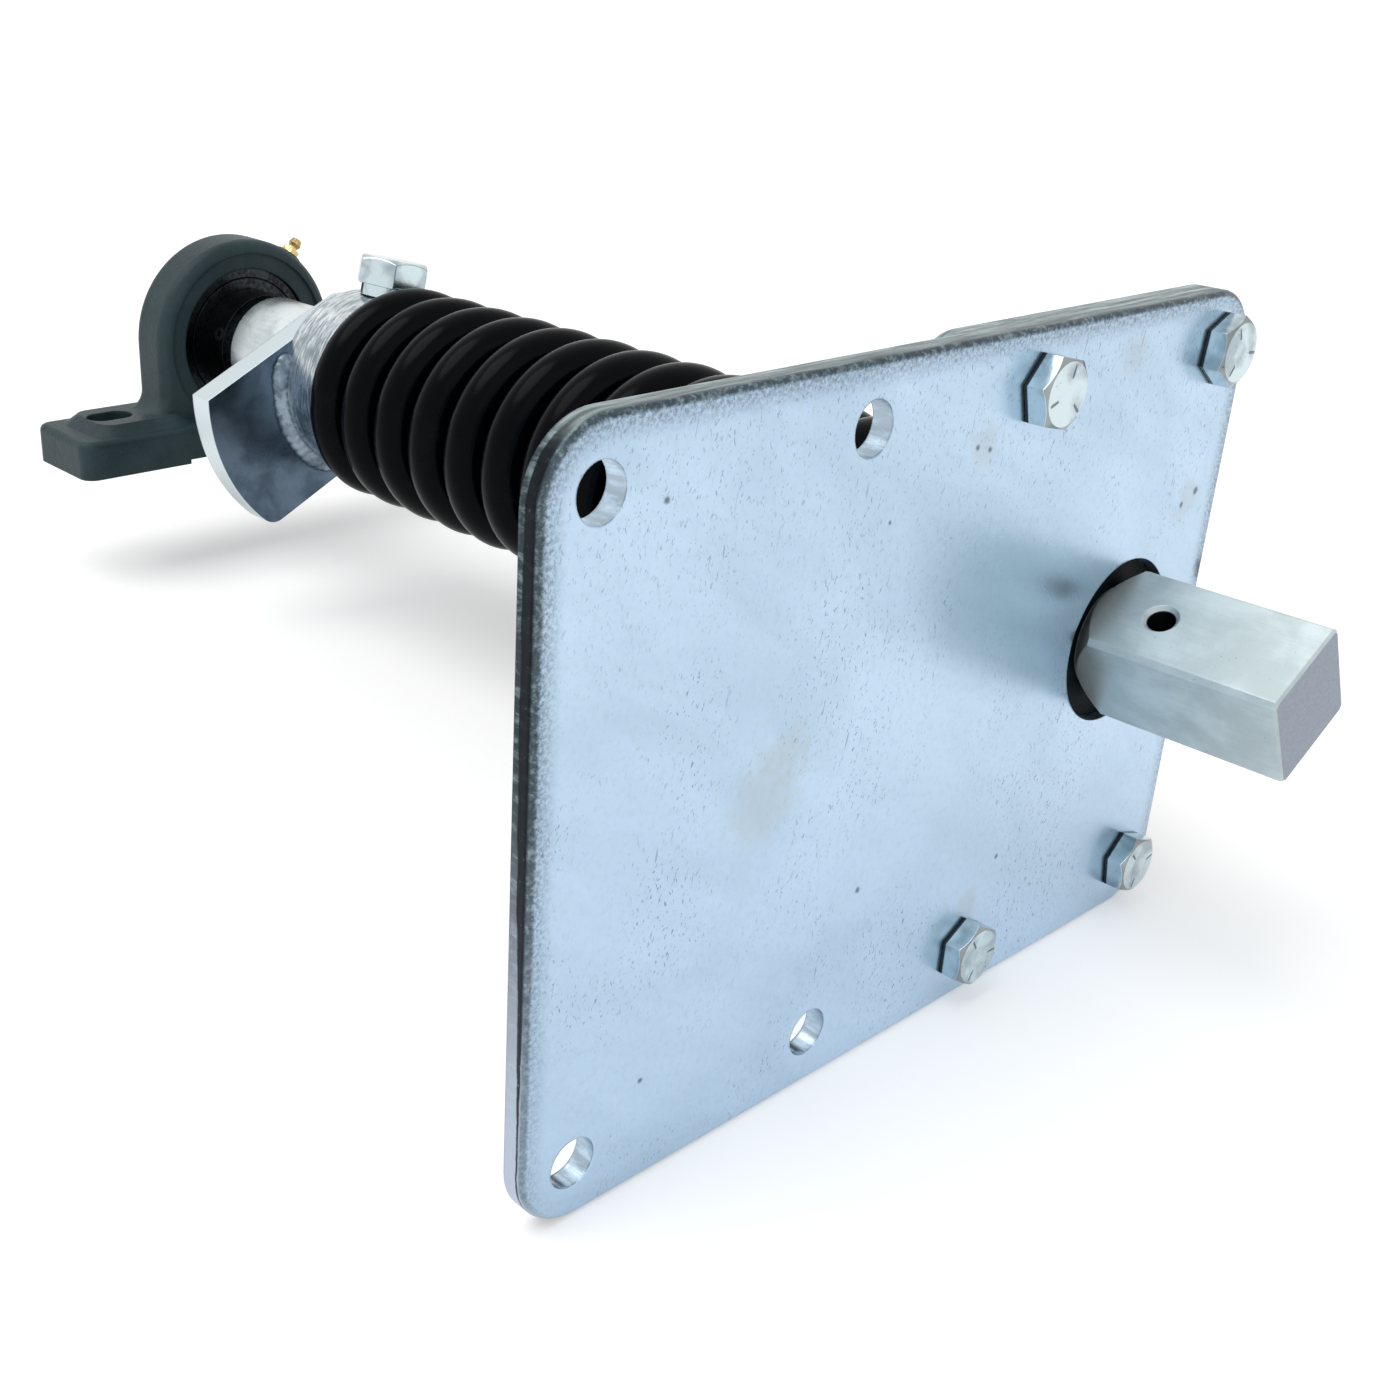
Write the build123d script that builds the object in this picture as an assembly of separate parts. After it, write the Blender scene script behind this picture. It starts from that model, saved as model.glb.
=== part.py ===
from build123d import *
import math
import os

# Tarp arm spring: a torsion spring on a turning shaft between a bolted plate and a bearing block.
# Millimetres and degrees. The shaft axis is the Y axis. Y = 0 is the outer face of the main plate,
# +Y runs back to the bearing block, +Z is up, and angles "from X" turn from +X towards +Z.

# Main plate
PLATE_WIDTH = 279.4
PLATE_HEIGHT = 203.2
PLATE_THICKNESS = 6.35
PLATE_CORNER_RADIUS = 19.0
PLATE_EDGE_ROUND = 2.0
PLATE_RIGHT_OF_SHAFT = 45.25
HOLE_INSET = 16.7
MOUNT_HOLE_DIAMETER = 14.2
MOUNT_COLUMN_SPACING = 87.2
SHAFT_OPENING_DIAMETER = 51.4

# Backing plate, hub tube and bushing
BACKING_WIDTH = 152.4
BACKING_THICKNESS = 4.76
HUB_TUBE_DIAMETER = 47.6
HUB_TUBE_WALL = 4.75
HUB_TUBE_LENGTH = 50.0
HUB_WELD_LEG = 2.0
BUSHING_LENGTH = 48.0
BUSHING_FLANGE_THICKNESS = 2.4
BUSHING_FLANGE_CLEARANCE = 0.5
THRUST_CLEARANCE = 0.25
JOURNAL_CLEARANCE = 0.05

# Plate bolts with their washers and nuts
BOLT_DIAMETER = 12.0
BOLT_COLUMN_SPACING = 88.9
BOLT_HOLE_CLEARANCE = 0.6
BOLT_HEAD_FLATS = 18.1
BOLT_HEAD_HEIGHT = 7.0
BOLT_END_BEYOND_NUT = 3.0
BOLT_HEAD_TURNS = (47.5, 24.0, 30.5, 42.0)
NUT_HEIGHT = 10.0
WASHER_DIAMETER = 24.0
WASHER_THICKNESS = 2.5
LOCK_WASHER_DIAMETER = 19.5
LOCK_WASHER_THICKNESS = 2.8
LOCK_WASHER_GAP = 1.6
THREAD_CLEARANCE = 0.04
GRADE_LINE_LENGTH = 4.0
GRADE_LINE_WIDTH = 1.0
GRADE_LINE_HEIGHT = 0.35

# Shaft with its square arm end
SQUARE_SIDE = 33.3
SQUARE_LENGTH = 62.0
SQUARE_CORNER = 1.6
SQUARE_END_BREAK = 0.8
SQUARE_TURN = 30.0
JOURNAL_DIAMETER = 31.75
ARM_HOLE_DIAMETER = 7.9
ARM_HOLE_SINK_DIAMETER = 10.7
ARM_HOLE_FROM_PLATE = 17.2
SHAFT_END_BEYOND_BEARING = 8.0
SHAFT_END_CHAMFER = 1.5

# Torsion spring
SPRING_DIAMETER = 92.4
WIRE_DIAMETER = 19.05
SPRING_PITCH = 22.8
SPRING_LENGTH = 349.4
SPRING_START_ANGLE = -36.0
SPRING_END_GAP = 0.3
SPRING_FRONT_WELD_GAP = 0.05
SPRING_FRONT_WELD_REACH = 5.0
SPRING_FRONT_WELD_HALF_ANGLE = 55.0
SPRING_REAR_WELD_REACH = 4.6
SPRING_REAR_WELD_LENGTH = 3.4

# Collar, tension plate and their lock bolt
COLLAR_DIAMETER = 78.8
COLLAR_LENGTH = 30.2
SPIGOT_CLEARANCE = 1.5
SPIGOT_LENGTH = 20.0
SLIDE_CLEARANCE = 0.04
TENSION_PLATE_THICKNESS = 12.7
TENSION_PLATE_WIDTH = 67.5
TENSION_PLATE_REACH = 76.0
TENSION_PLATE_HUB_RADIUS = 36.0
TENSION_PLATE_CORNER = 8.0
TENSION_PLATE_TURN = 206.0
TENSION_WELD_REACH = 5.5
TENSION_WELD_HALF_ANGLE = 50.0
SPACER_DIAMETER = 50.0
SPACER_LENGTH = 51.8
SET_BOLT_DIAMETER = 19.05
SET_BOLT_TURN = 78.0
SET_BOLT_FROM_COLLAR_FRONT = 16.1
SET_BOLT_FLATS = 28.6
SET_BOLT_HEAD_HEIGHT = 11.9
SET_BOLT_HEAD_TURN = -4.0
SET_BOLT_POINT_DIAMETER = 10.0
SET_BOLT_POINT_DEPTH = 3.5
SET_WASHER_DIAMETER = 25.0
SET_WASHER_THICKNESS = 4.8
SPOT_FACE_DEPTH = 1.2
SPOT_FACE_DIAMETER = 26.5

# Bearing insert
SPACER_TO_BEARING = 7.5
INNER_RING_FRONT = 28.0
INNER_RING_BACK = 17.5
INNER_RING_DIAMETER = 49.6
OUTER_RING_DIAMETER = 72.0
OUTER_RING_WIDTH = 20.0
OUTER_RING_BORE = 60.4
RING_SEAT_CLEARANCE = 0.02
BALL_DIAMETER = 11.112
BALL_COUNT = 9
BALL_CIRCLE_DIAMETER = 54.0
RACE_CLEARANCE = 0.05
CAGE_WIDTH = 13.4
CAGE_THICKNESS = 2.8
CAGE_POCKET_CLEARANCE = 0.12
SEAL_THICKNESS = 1.4
SEAL_LIP_CLEARANCE = 0.3
SEAL_SETBACK = 1.3
FLINGER_THICKNESS = 1.0
FLINGER_DIAMETER = 59.0
FLINGER_GAP = 0.6
GRUB_DIAMETER = 6.0
GRUB_SETBACK = 4.5
GRUB_SOCKET_DEPTH = 3.0
GRUB_SOCKET_FLATS = 3.0
GRUB_TURNS = (40.0, 160.0)

# Bearing housing
HOUSING_DIAMETER = 95.0
HOUSING_WIDTH = 26.0
HOUSING_EDGE_ROUND = 5.5
ARCH_ABOVE_BASE = 3.3
HOUSING_RECESS_DIAMETER = 83.0
HOUSING_RECESS_DEPTH = 1.5
FOOT_LENGTH = 192.0
FOOT_WIDTH = 48.0
FOOT_THICKNESS = 17.5
FOOT_EDGE_ROUND = 3.2
FOOT_CORNER_RADIUS = 6.5
FOOT_ROOT_ROUND = 8.0
PAD_HEIGHT = 4.4
PAD_WIDTH = 31.0
PAD_END_MARGIN = 15.0
PAD_SLOPE = 6.0
PAD_CORNER_RADIUS = 7.0
SLOT_SPACING = 140.0
SLOT_WIDTH = 14.0
SLOT_LENGTH = 22.0
BASE_RELIEF_LENGTH = 84.0
BASE_RELIEF_DEPTH = 2.0
LOADING_SLOT_CLEARANCE = 0.4

# Grease nipple
NIPPLE_TURN = 49.0
NIPPLE_THREAD_DIAMETER = 6.0
NIPPLE_THREAD_LENGTH = 5.0
NIPPLE_HEX_FLATS = 8.0
NIPPLE_HEX_HEIGHT = 3.0
NIPPLE_NECK_DIAMETER = 4.4
NIPPLE_HEAD_DIAMETER = 6.4
NIPPLE_HEAD_HEIGHT = 5.5
NIPPLE_BOSS_DIAMETER = 13.0
NIPPLE_BOSS_HEIGHT = 1.0
GREASE_PASSAGE_DIAMETER = 3.0

# Places along Y that follow from the sizes
backing_back = PLATE_THICKNESS + BACKING_THICKNESS
spring_end = backing_back + SPRING_LENGTH
collar_front = spring_end + SPRING_END_GAP
collar_back = collar_front + COLLAR_LENGTH
tension_back = collar_back + TENSION_PLATE_THICKNESS
spacer_back = tension_back + SPACER_LENGTH
bearing_centre = spacer_back + SPACER_TO_BEARING + INNER_RING_FRONT
shaft_back = bearing_centre + INNER_RING_BACK + SHAFT_END_BEYOND_BEARING
set_bolt_place = collar_front + SET_BOLT_FROM_COLLAR_FRONT

# Radii that several pieces share
journal_radius = JOURNAL_DIAMETER / 2
hub_bore_radius = HUB_TUBE_DIAMETER / 2 - HUB_TUBE_WALL
slide_radius = journal_radius + SLIDE_CLEARANCE
spring_radius = SPRING_DIAMETER / 2
spring_inner_radius = spring_radius - WIRE_DIAMETER
collar_radius = COLLAR_DIAMETER / 2
outer_ring_radius = OUTER_RING_DIAMETER / 2
race_radius = BALL_DIAMETER / 2 + RACE_CLEARANCE
housing_radius = HOUSING_DIAMETER / 2
housing_centre_height = housing_radius + ARCH_ABOVE_BASE
boss_top = housing_radius + NIPPLE_BOSS_HEIGHT


def slab(profile, start, thickness):
    """A plate: a profile drawn in X and Z, from Y = start to start + thickness."""
    return Pos(0, start, 0) * extrude(Plane.XZ * profile, amount=-thickness)


def turned(points):
    """A turned piece: a closed outline of (radius, Y) points spun about the Y axis."""
    return revolve(make_face(Polyline(*points, close=True)), Axis.Y)


def tube(inner_radius, outer_radius, start, end):
    """A plain ring about the Y axis."""
    return turned([(inner_radius, start), (outer_radius, start), (outer_radius, end), (inner_radius, end)])


def rod(radius, start, end):
    """A plain round bar on the Y axis."""
    return slab(Circle(radius), start, end - start)


def turn_about_shaft(angle):
    """The turn that carries +X round to an angle from X, about the shaft."""
    return Rot(0, -angle, 0)


def radial(shape, angle, along):
    """Stand a piece that was drawn up the Z axis out from the shaft, at an angle from X."""
    return Pos(0, along, 0) * turn_about_shaft(angle) * Rot(0, 90, 0) * shape


def hexagon(flats, turn=0.0):
    return RegularPolygon(flats / 2, 6, major_radius=False, rotation=turn)


def hex_prism(flats, low, high):
    """A hexagon bar up Z with its upper corners turned away, as on a bolt head."""
    corner_radius = flats / math.sqrt(3)
    drop = (corner_radius - flats / 2) * math.tan(math.radians(30))
    bar = Pos(0, 0, low) * extrude(hexagon(flats), amount=high - low)
    outline = [(0, low), (corner_radius, low), (corner_radius, high - drop),
               (flats / 2 - drop, high), (0, high)]
    return bar & revolve(make_face(Plane.XZ * Polyline(*outline, close=True)), Axis.Z)


def round_bar(radius, low, high):
    """A plain round bar up Z."""
    return Pos(0, 0, low) * extrude(Circle(radius), amount=high - low)


def split_washer(bolt_diameter, outside_diameter, thickness):
    """A sprung washer up Z for a bolt, with a slanting cut through one side."""
    ring = Circle(outside_diameter / 2) - Circle(bolt_diameter / 2 + THREAD_CLEARANCE)
    cut = Rot(25, 0, 0) * Box(outside_diameter, LOCK_WASHER_GAP, 4 * thickness)
    return extrude(ring, amount=thickness) - Pos(outside_diameter / 2, 0, thickness / 2) * cut


def plate_profile(width):
    """A plate as high as the main plate, its right edge in line with the main plate's."""
    sheet = RectangleRounded(width, PLATE_HEIGHT, PLATE_CORNER_RADIUS)
    return Pos(PLATE_RIGHT_OF_SHAFT - width / 2, 0) * sheet


def bolt_places():
    """X and Z of the four bolts that hold the two plates together, top row first."""
    right = PLATE_RIGHT_OF_SHAFT - HOLE_INSET
    high = PLATE_HEIGHT / 2 - HOLE_INSET
    return [(x, z) for z in (high, -high) for x in (right - BOLT_COLUMN_SPACING, right)]


def mount_places():
    """X and Z of the four open holes that fix the main plate to a wall."""
    left = PLATE_RIGHT_OF_SHAFT - PLATE_WIDTH + HOLE_INSET
    high = PLATE_HEIGHT / 2 - HOLE_INSET
    return [(x, z) for z in (high, -high) for x in (left, left + MOUNT_COLUMN_SPACING)]


def holes(places, diameter):
    return [Pos(x, z) * Circle(diameter / 2) for x, z in places]


def make_main_plate():
    profile = plate_profile(PLATE_WIDTH) - Circle(SHAFT_OPENING_DIAMETER / 2)
    profile -= holes(bolt_places(), BOLT_DIAMETER + 2 * BOLT_HOLE_CLEARANCE)
    profile -= holes(mount_places(), MOUNT_HOLE_DIAMETER)
    plate = slab(profile, 0, PLATE_THICKNESS)
    rim = plate.faces().sort_by(Axis.Y)[0].outer_wire().edges()
    return fillet(rim, PLATE_EDGE_ROUND)


def make_backing_plate():
    profile = plate_profile(BACKING_WIDTH) - Circle(hub_bore_radius)
    profile -= holes(bolt_places(), BOLT_DIAMETER + 2 * BOLT_HOLE_CLEARANCE)
    return slab(profile, PLATE_THICKNESS, BACKING_THICKNESS)


def make_hub_tube():
    return tube(hub_bore_radius, HUB_TUBE_DIAMETER / 2, backing_back, backing_back + HUB_TUBE_LENGTH)


def fillet_bead(radius, root, reach, length):
    """A three-cornered weld bead round a tube: it reaches out along a face at Y = root."""
    return turned([(radius, root), (radius + reach, root), (radius, root + length)])


def sector(middle, half_angle, start, thickness):
    """A wedge about the shaft that keeps one arc of a ring."""
    reach = 2 * spring_radius
    rise = reach * math.tan(math.radians(half_angle))
    wedge = make_face(Polyline((0, 0), (reach, rise), (reach, -rise), close=True))
    return turn_about_shaft(middle) * slab(wedge, start, thickness)


def make_hub_weld():
    return fillet_bead(HUB_TUBE_DIAMETER / 2, backing_back, HUB_WELD_LEG, HUB_WELD_LEG)


def make_shaft_bushing():
    bore = journal_radius + JOURNAL_CLEARANCE
    flange_radius = SHAFT_OPENING_DIAMETER / 2 - BUSHING_FLANGE_CLEARANCE
    flange_front = PLATE_THICKNESS - BUSHING_FLANGE_THICKNESS
    body = tube(bore, hub_bore_radius, PLATE_THICKNESS, PLATE_THICKNESS + BUSHING_LENGTH)
    return body + tube(bore, flange_radius, flange_front, PLATE_THICKNESS)


def on_bolts(build):
    """One fastener at each plate bolt, built up +Y by a function of the bolt's number."""
    pieces = [Pos(x, 0, z) * build(number) for number, (x, z) in enumerate(bolt_places())]
    return Compound(children=pieces)


def grade_lines(head_height):
    """Three raised radial lines on a bolt head."""
    middle = BOLT_HEAD_FLATS / 2 - 1 - GRADE_LINE_LENGTH / 2
    line = extrude(Rectangle(GRADE_LINE_LENGTH, GRADE_LINE_WIDTH), amount=GRADE_LINE_HEIGHT)
    return [Rot(0, 0, angle) * Pos(middle, 0, head_height) * line for angle in (90, 210, 330)]


def plate_bolt(number):
    washers = WASHER_THICKNESS + LOCK_WASHER_THICKNESS
    length = backing_back + washers + NUT_HEIGHT + BOLT_END_BEYOND_NUT
    head = hex_prism(BOLT_HEAD_FLATS, 0, BOLT_HEAD_HEIGHT)
    for line in grade_lines(BOLT_HEAD_HEIGHT):
        head += line
    bolt = head + round_bar(BOLT_DIAMETER / 2, -length, 0)
    return Rot(90, 0, 0) * Rot(0, 0, BOLT_HEAD_TURNS[number]) * bolt


def plate_washer(number):
    inner = BOLT_DIAMETER / 2 + BOLT_HOLE_CLEARANCE
    return tube(inner, WASHER_DIAMETER / 2, backing_back, backing_back + WASHER_THICKNESS)


def plate_lock_washer(number):
    ring = split_washer(BOLT_DIAMETER, LOCK_WASHER_DIAMETER, LOCK_WASHER_THICKNESS)
    return Pos(0, backing_back + WASHER_THICKNESS, 0) * Rot(-90, 0, 0) * Rot(0, 0, 70 * number) * ring


def plate_nut(number):
    start = backing_back + WASHER_THICKNESS + LOCK_WASHER_THICKNESS
    bore = round_bar(BOLT_DIAMETER / 2 + THREAD_CLEARANCE, 0, NUT_HEIGHT)
    nut = hex_prism(BOLT_HEAD_FLATS, 0, NUT_HEIGHT) - bore
    return Pos(0, start, 0) * Rot(-90, 0, 0) * Rot(0, 0, 25 * number) * nut


def make_drive_shaft():
    shoulder = PLATE_THICKNESS - BUSHING_FLANGE_THICKNESS - THRUST_CLEARANCE
    half_diagonal = SQUARE_SIDE / math.sqrt(2)
    square = chamfer(Rectangle(SQUARE_SIDE, SQUARE_SIDE).vertices(), SQUARE_CORNER)
    bar = Rot(0, -SQUARE_TURN, 0) * slab(square, -SQUARE_LENGTH, SQUARE_LENGTH + shoulder)
    end_break = SQUARE_SIDE / 2 - SQUARE_END_BREAK
    slope_start = shoulder - (half_diagonal - journal_radius)
    envelope = turned([(0, -SQUARE_LENGTH), (half_diagonal, -SQUARE_LENGTH), (half_diagonal, slope_start),
                       (journal_radius, shoulder), (0, shoulder)])
    bar &= envelope
    end_edges = bar.faces().sort_by(Axis.Y)[0].outer_wire().edges()
    bar = chamfer(end_edges, SQUARE_SIDE / 2 - end_break)
    journal = rod(journal_radius, shoulder - 1, shaft_back)
    tail = journal.faces().sort_by(Axis.Y)[-1].outer_wire().edges()
    shaft = bar + chamfer(tail, SHAFT_END_CHAMFER)
    shaft -= radial(arm_hole_cutter(), 90 + SQUARE_TURN, -ARM_HOLE_FROM_PLATE)
    pocket_radius = SET_BOLT_POINT_DIAMETER / 2 + THREAD_CLEARANCE
    pocket = round_bar(pocket_radius, set_bolt_tip() - THREAD_CLEARANCE, journal_radius + 1)
    return shaft - radial(pocket, SET_BOLT_TURN, set_bolt_place)


def arm_hole_cutter():
    """The cross hole for the arm's bolt, sunk at both faces of the square."""
    half = SQUARE_SIDE / 2
    sink = (ARM_HOLE_SINK_DIAMETER - ARM_HOLE_DIAMETER) / 2
    bore = ARM_HOLE_DIAMETER / 2
    outline = [(0, -half - 1), (bore + sink + 1, -half - 1), (bore, -half + sink), (bore, half - sink),
               (bore + sink + 1, half + 1), (0, half + 1)]
    return revolve(make_face(Plane.XZ * Polyline(*outline, close=True)), Axis.Z)


def make_torsion_spring():
    """A round wire wound left-handed, both ends ground flat and square to the shaft."""
    coil_radius = (SPRING_DIAMETER - WIRE_DIAMETER) / 2
    start = (0, backing_back - WIRE_DIAMETER / 2, 0)
    wound = SPRING_LENGTH + WIRE_DIAMETER
    path = Helix(SPRING_PITCH, wound, coil_radius, center=start, direction=(0, 1, 0), lefthand=True)
    section = Plane(origin=path @ 0, z_dir=path % 0) * Circle(WIRE_DIAMETER / 2)
    coil = turn_about_shaft(SPRING_START_ANGLE - 90) * sweep(section, path=path, is_frenet=True)
    return coil & rod(spring_radius + 1, backing_back, spring_end)


def make_front_spring_weld():
    """The bead that ties the fullest part of the first coil to the backing plate."""
    inner = spring_radius + SPRING_FRONT_WELD_GAP
    bead = fillet_bead(inner, backing_back, SPRING_FRONT_WELD_REACH, SPRING_FRONT_WELD_REACH)
    fullest = SPRING_START_ANGLE + 360 * WIRE_DIAMETER / 2 / SPRING_PITCH
    return bead & sector(fullest, SPRING_FRONT_WELD_HALF_ANGLE, backing_back, WIRE_DIAMETER)


def make_tension_collar():
    spigot = spring_inner_radius - SPIGOT_CLEARANCE
    front = collar_front - SPIGOT_LENGTH
    collar = turned([
        (slide_radius, front), (spigot, front), (spigot, collar_front), (collar_radius, collar_front),
        (collar_radius, collar_back), (slide_radius, collar_back)])
    spot = round_bar(SPOT_FACE_DIAMETER / 2, spot_face_level(), collar_radius + 1)
    thread = round_bar(SET_BOLT_DIAMETER / 2 + THREAD_CLEARANCE, 0, collar_radius + 1)
    return collar - radial(spot + thread, SET_BOLT_TURN, set_bolt_place)


def spot_face_level():
    """Distance from the shaft axis to the flat that the set bolt's washer sits on."""
    return collar_radius - SPOT_FACE_DEPTH


def set_bolt_tip():
    """Distance from the shaft axis to the end of the set bolt's point."""
    return journal_radius - SET_BOLT_POINT_DEPTH


def make_rear_spring_weld():
    return fillet_bead(collar_radius, collar_front, SPRING_REAR_WELD_REACH, SPRING_REAR_WELD_LENGTH)


def make_tension_plate():
    """The lever that winds the spring: straight sides, an arc about the shaft at each end."""
    half = TENSION_PLATE_WIDTH / 2
    strip = Pos((TENSION_PLATE_REACH - TENSION_PLATE_HUB_RADIUS) / 2, 0) * Rectangle(
        TENSION_PLATE_REACH + TENSION_PLATE_HUB_RADIUS, TENSION_PLATE_WIDTH)
    hub = Circle(TENSION_PLATE_HUB_RADIUS)
    lever = strip & Circle(TENSION_PLATE_REACH) & (hub + Pos(TENSION_PLATE_REACH / 2, 0) * Rectangle(
        TENSION_PLATE_REACH, TENSION_PLATE_WIDTH))
    tip = [v for v in lever.vertices() if v.X > TENSION_PLATE_HUB_RADIUS and v.Y > half / 2]
    lever = fillet(tip, TENSION_PLATE_CORNER) - Circle(slide_radius)
    return turn_about_shaft(TENSION_PLATE_TURN) * slab(lever, collar_back, TENSION_PLATE_THICKNESS)


def make_tension_plate_weld():
    bead = fillet_bead(collar_radius, collar_back, TENSION_WELD_REACH, -TENSION_WELD_REACH)
    arc = sector(TENSION_PLATE_TURN, TENSION_WELD_HALF_ANGLE, collar_front, COLLAR_LENGTH)
    return bead & arc


def make_spacer_sleeve():
    return tube(slide_radius, SPACER_DIAMETER / 2, tension_back, spacer_back)


def make_set_bolt():
    head_low = spot_face_level() + SET_WASHER_THICKNESS
    head = hex_prism(SET_BOLT_FLATS, head_low, head_low + SET_BOLT_HEAD_HEIGHT)
    shank = round_bar(SET_BOLT_DIAMETER / 2, journal_radius + 4 * SLIDE_CLEARANCE, head_low)
    point = round_bar(SET_BOLT_POINT_DIAMETER / 2, set_bolt_tip(), journal_radius + 1)
    return radial(Rot(0, 0, SET_BOLT_HEAD_TURN) * (head + shank + point), SET_BOLT_TURN, set_bolt_place)


def make_set_bolt_lock_washer():
    ring = split_washer(SET_BOLT_DIAMETER, SET_WASHER_DIAMETER, SET_WASHER_THICKNESS)
    return radial(Pos(0, 0, spot_face_level()) * ring, SET_BOLT_TURN, set_bolt_place)


def ball_race():
    """The groove that the balls run in, as a solid ring to cut away."""
    track = Pos(BALL_CIRCLE_DIAMETER / 2, bearing_centre) * Circle(race_radius)
    return revolve(track, Axis.Y)


def make_bearing_outer_ring():
    """The outer ring: its outside is a band of a ball, so that it can line itself up."""
    half = OUTER_RING_WIDTH / 2
    ball = Pos(0, bearing_centre, 0) * Rot(90, 0, 0) * Sphere(outer_ring_radius)
    band = tube(OUTER_RING_BORE / 2, outer_ring_radius + 1, bearing_centre - half, bearing_centre + half)
    return ball & band - ball_race()


def make_bearing_inner_ring():
    bore = journal_radius + SLIDE_CLEARANCE
    front = bearing_centre - INNER_RING_FRONT
    ring = tube(bore, INNER_RING_DIAMETER / 2, front, bearing_centre + INNER_RING_BACK) - ball_race()
    thread = round_bar(GRUB_DIAMETER / 2 + THREAD_CLEARANCE, journal_radius, INNER_RING_DIAMETER)
    for turn in GRUB_TURNS:
        ring -= radial(thread, turn, grub_place())
    return ring


def grub_place():
    """Y of the two grub screws that lock the inner ring to the shaft."""
    return bearing_centre - INNER_RING_FRONT + GRUB_SETBACK


def make_bearing_set_screws():
    low = journal_radius + SLIDE_CLEARANCE
    high = INNER_RING_DIAMETER / 2
    socket = extrude(hexagon(GRUB_SOCKET_FLATS), amount=GRUB_SOCKET_DEPTH + 1)
    screw = round_bar(GRUB_DIAMETER / 2, low, high) - Pos(0, 0, high - GRUB_SOCKET_DEPTH) * socket
    return Compound(children=[radial(screw, turn, grub_place()) for turn in GRUB_TURNS])


def ball_angles():
    return [number * 360 / BALL_COUNT for number in range(BALL_COUNT)]


def make_bearing_balls():
    ball = Pos(0, 0, BALL_CIRCLE_DIAMETER / 2) * Sphere(BALL_DIAMETER / 2)
    return Compound(children=[radial(ball, angle, bearing_centre) for angle in ball_angles()])


def make_bearing_cage():
    middle = BALL_CIRCLE_DIAMETER / 2
    half = CAGE_WIDTH / 2
    cage = tube(middle - CAGE_THICKNESS / 2, middle + CAGE_THICKNESS / 2, bearing_centre - half,
                bearing_centre + half)
    pocket_radius = BALL_DIAMETER / 2 + CAGE_POCKET_CLEARANCE
    pocket = round_bar(pocket_radius, middle - CAGE_THICKNESS, middle + CAGE_THICKNESS)
    for angle in ball_angles():
        cage -= radial(pocket, angle, bearing_centre)
    return cage


def bearing_disc(inner_radius, outer_radius, thickness, offset, side):
    """A thin ring in front of (side -1) or behind (side 1) the balls, offset to its near face."""
    ends = sorted((bearing_centre + side * offset, bearing_centre + side * (offset + thickness)))
    return tube(inner_radius, outer_radius, ends[0], ends[1])


def make_seal(side):
    inner = INNER_RING_DIAMETER / 2 + SEAL_LIP_CLEARANCE
    offset = OUTER_RING_WIDTH / 2 - SEAL_SETBACK - SEAL_THICKNESS
    return bearing_disc(inner, OUTER_RING_BORE / 2, SEAL_THICKNESS, offset, side)


def make_flinger(side):
    offset = OUTER_RING_WIDTH / 2 - SEAL_SETBACK + FLINGER_GAP
    return bearing_disc(INNER_RING_DIAMETER / 2, FLINGER_DIAMETER / 2, FLINGER_THICKNESS, offset, side)


def foot_profile():
    """The housing seen along the shaft: an arch on a raised web, with hollow corners at its roots."""
    top = FOOT_THICKNESS + PAD_HEIGHT
    reach = FOOT_LENGTH - 2 * (PAD_END_MARGIN + PAD_CORNER_RADIUS)
    web = Pos(0, top / 2 - housing_centre_height) * Rectangle(reach, top)
    side = Pos(0, -housing_centre_height / 2) * Rectangle(HOUSING_DIAMETER, housing_centre_height)
    arch = web + side + Circle(housing_radius)
    level = top - housing_centre_height
    roots = [v for v in arch.vertices() if abs(v.Y - level) < 0.01 and abs(abs(v.X) - housing_radius) < 0.01]
    return fillet(roots, FOOT_ROOT_ROUND)


def make_pad(side):
    """The raised pad round one slot, its sides sloping down to the foot."""
    inner = housing_radius - FOOT_ROOT_ROUND
    outer = FOOT_LENGTH / 2 - PAD_END_MARGIN
    low = FOOT_THICKNESS - housing_centre_height
    centre = side * (inner + outer) / 2
    foot = RectangleRounded(outer - inner + 2 * PAD_SLOPE, PAD_WIDTH + 2 * PAD_SLOPE,
                            PAD_CORNER_RADIUS + PAD_SLOPE)
    crown = RectangleRounded(outer - inner, PAD_WIDTH, PAD_CORNER_RADIUS)
    return loft([Pos(centre, 0, low) * foot, Pos(centre, 0, low + PAD_HEIGHT) * crown])


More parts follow.
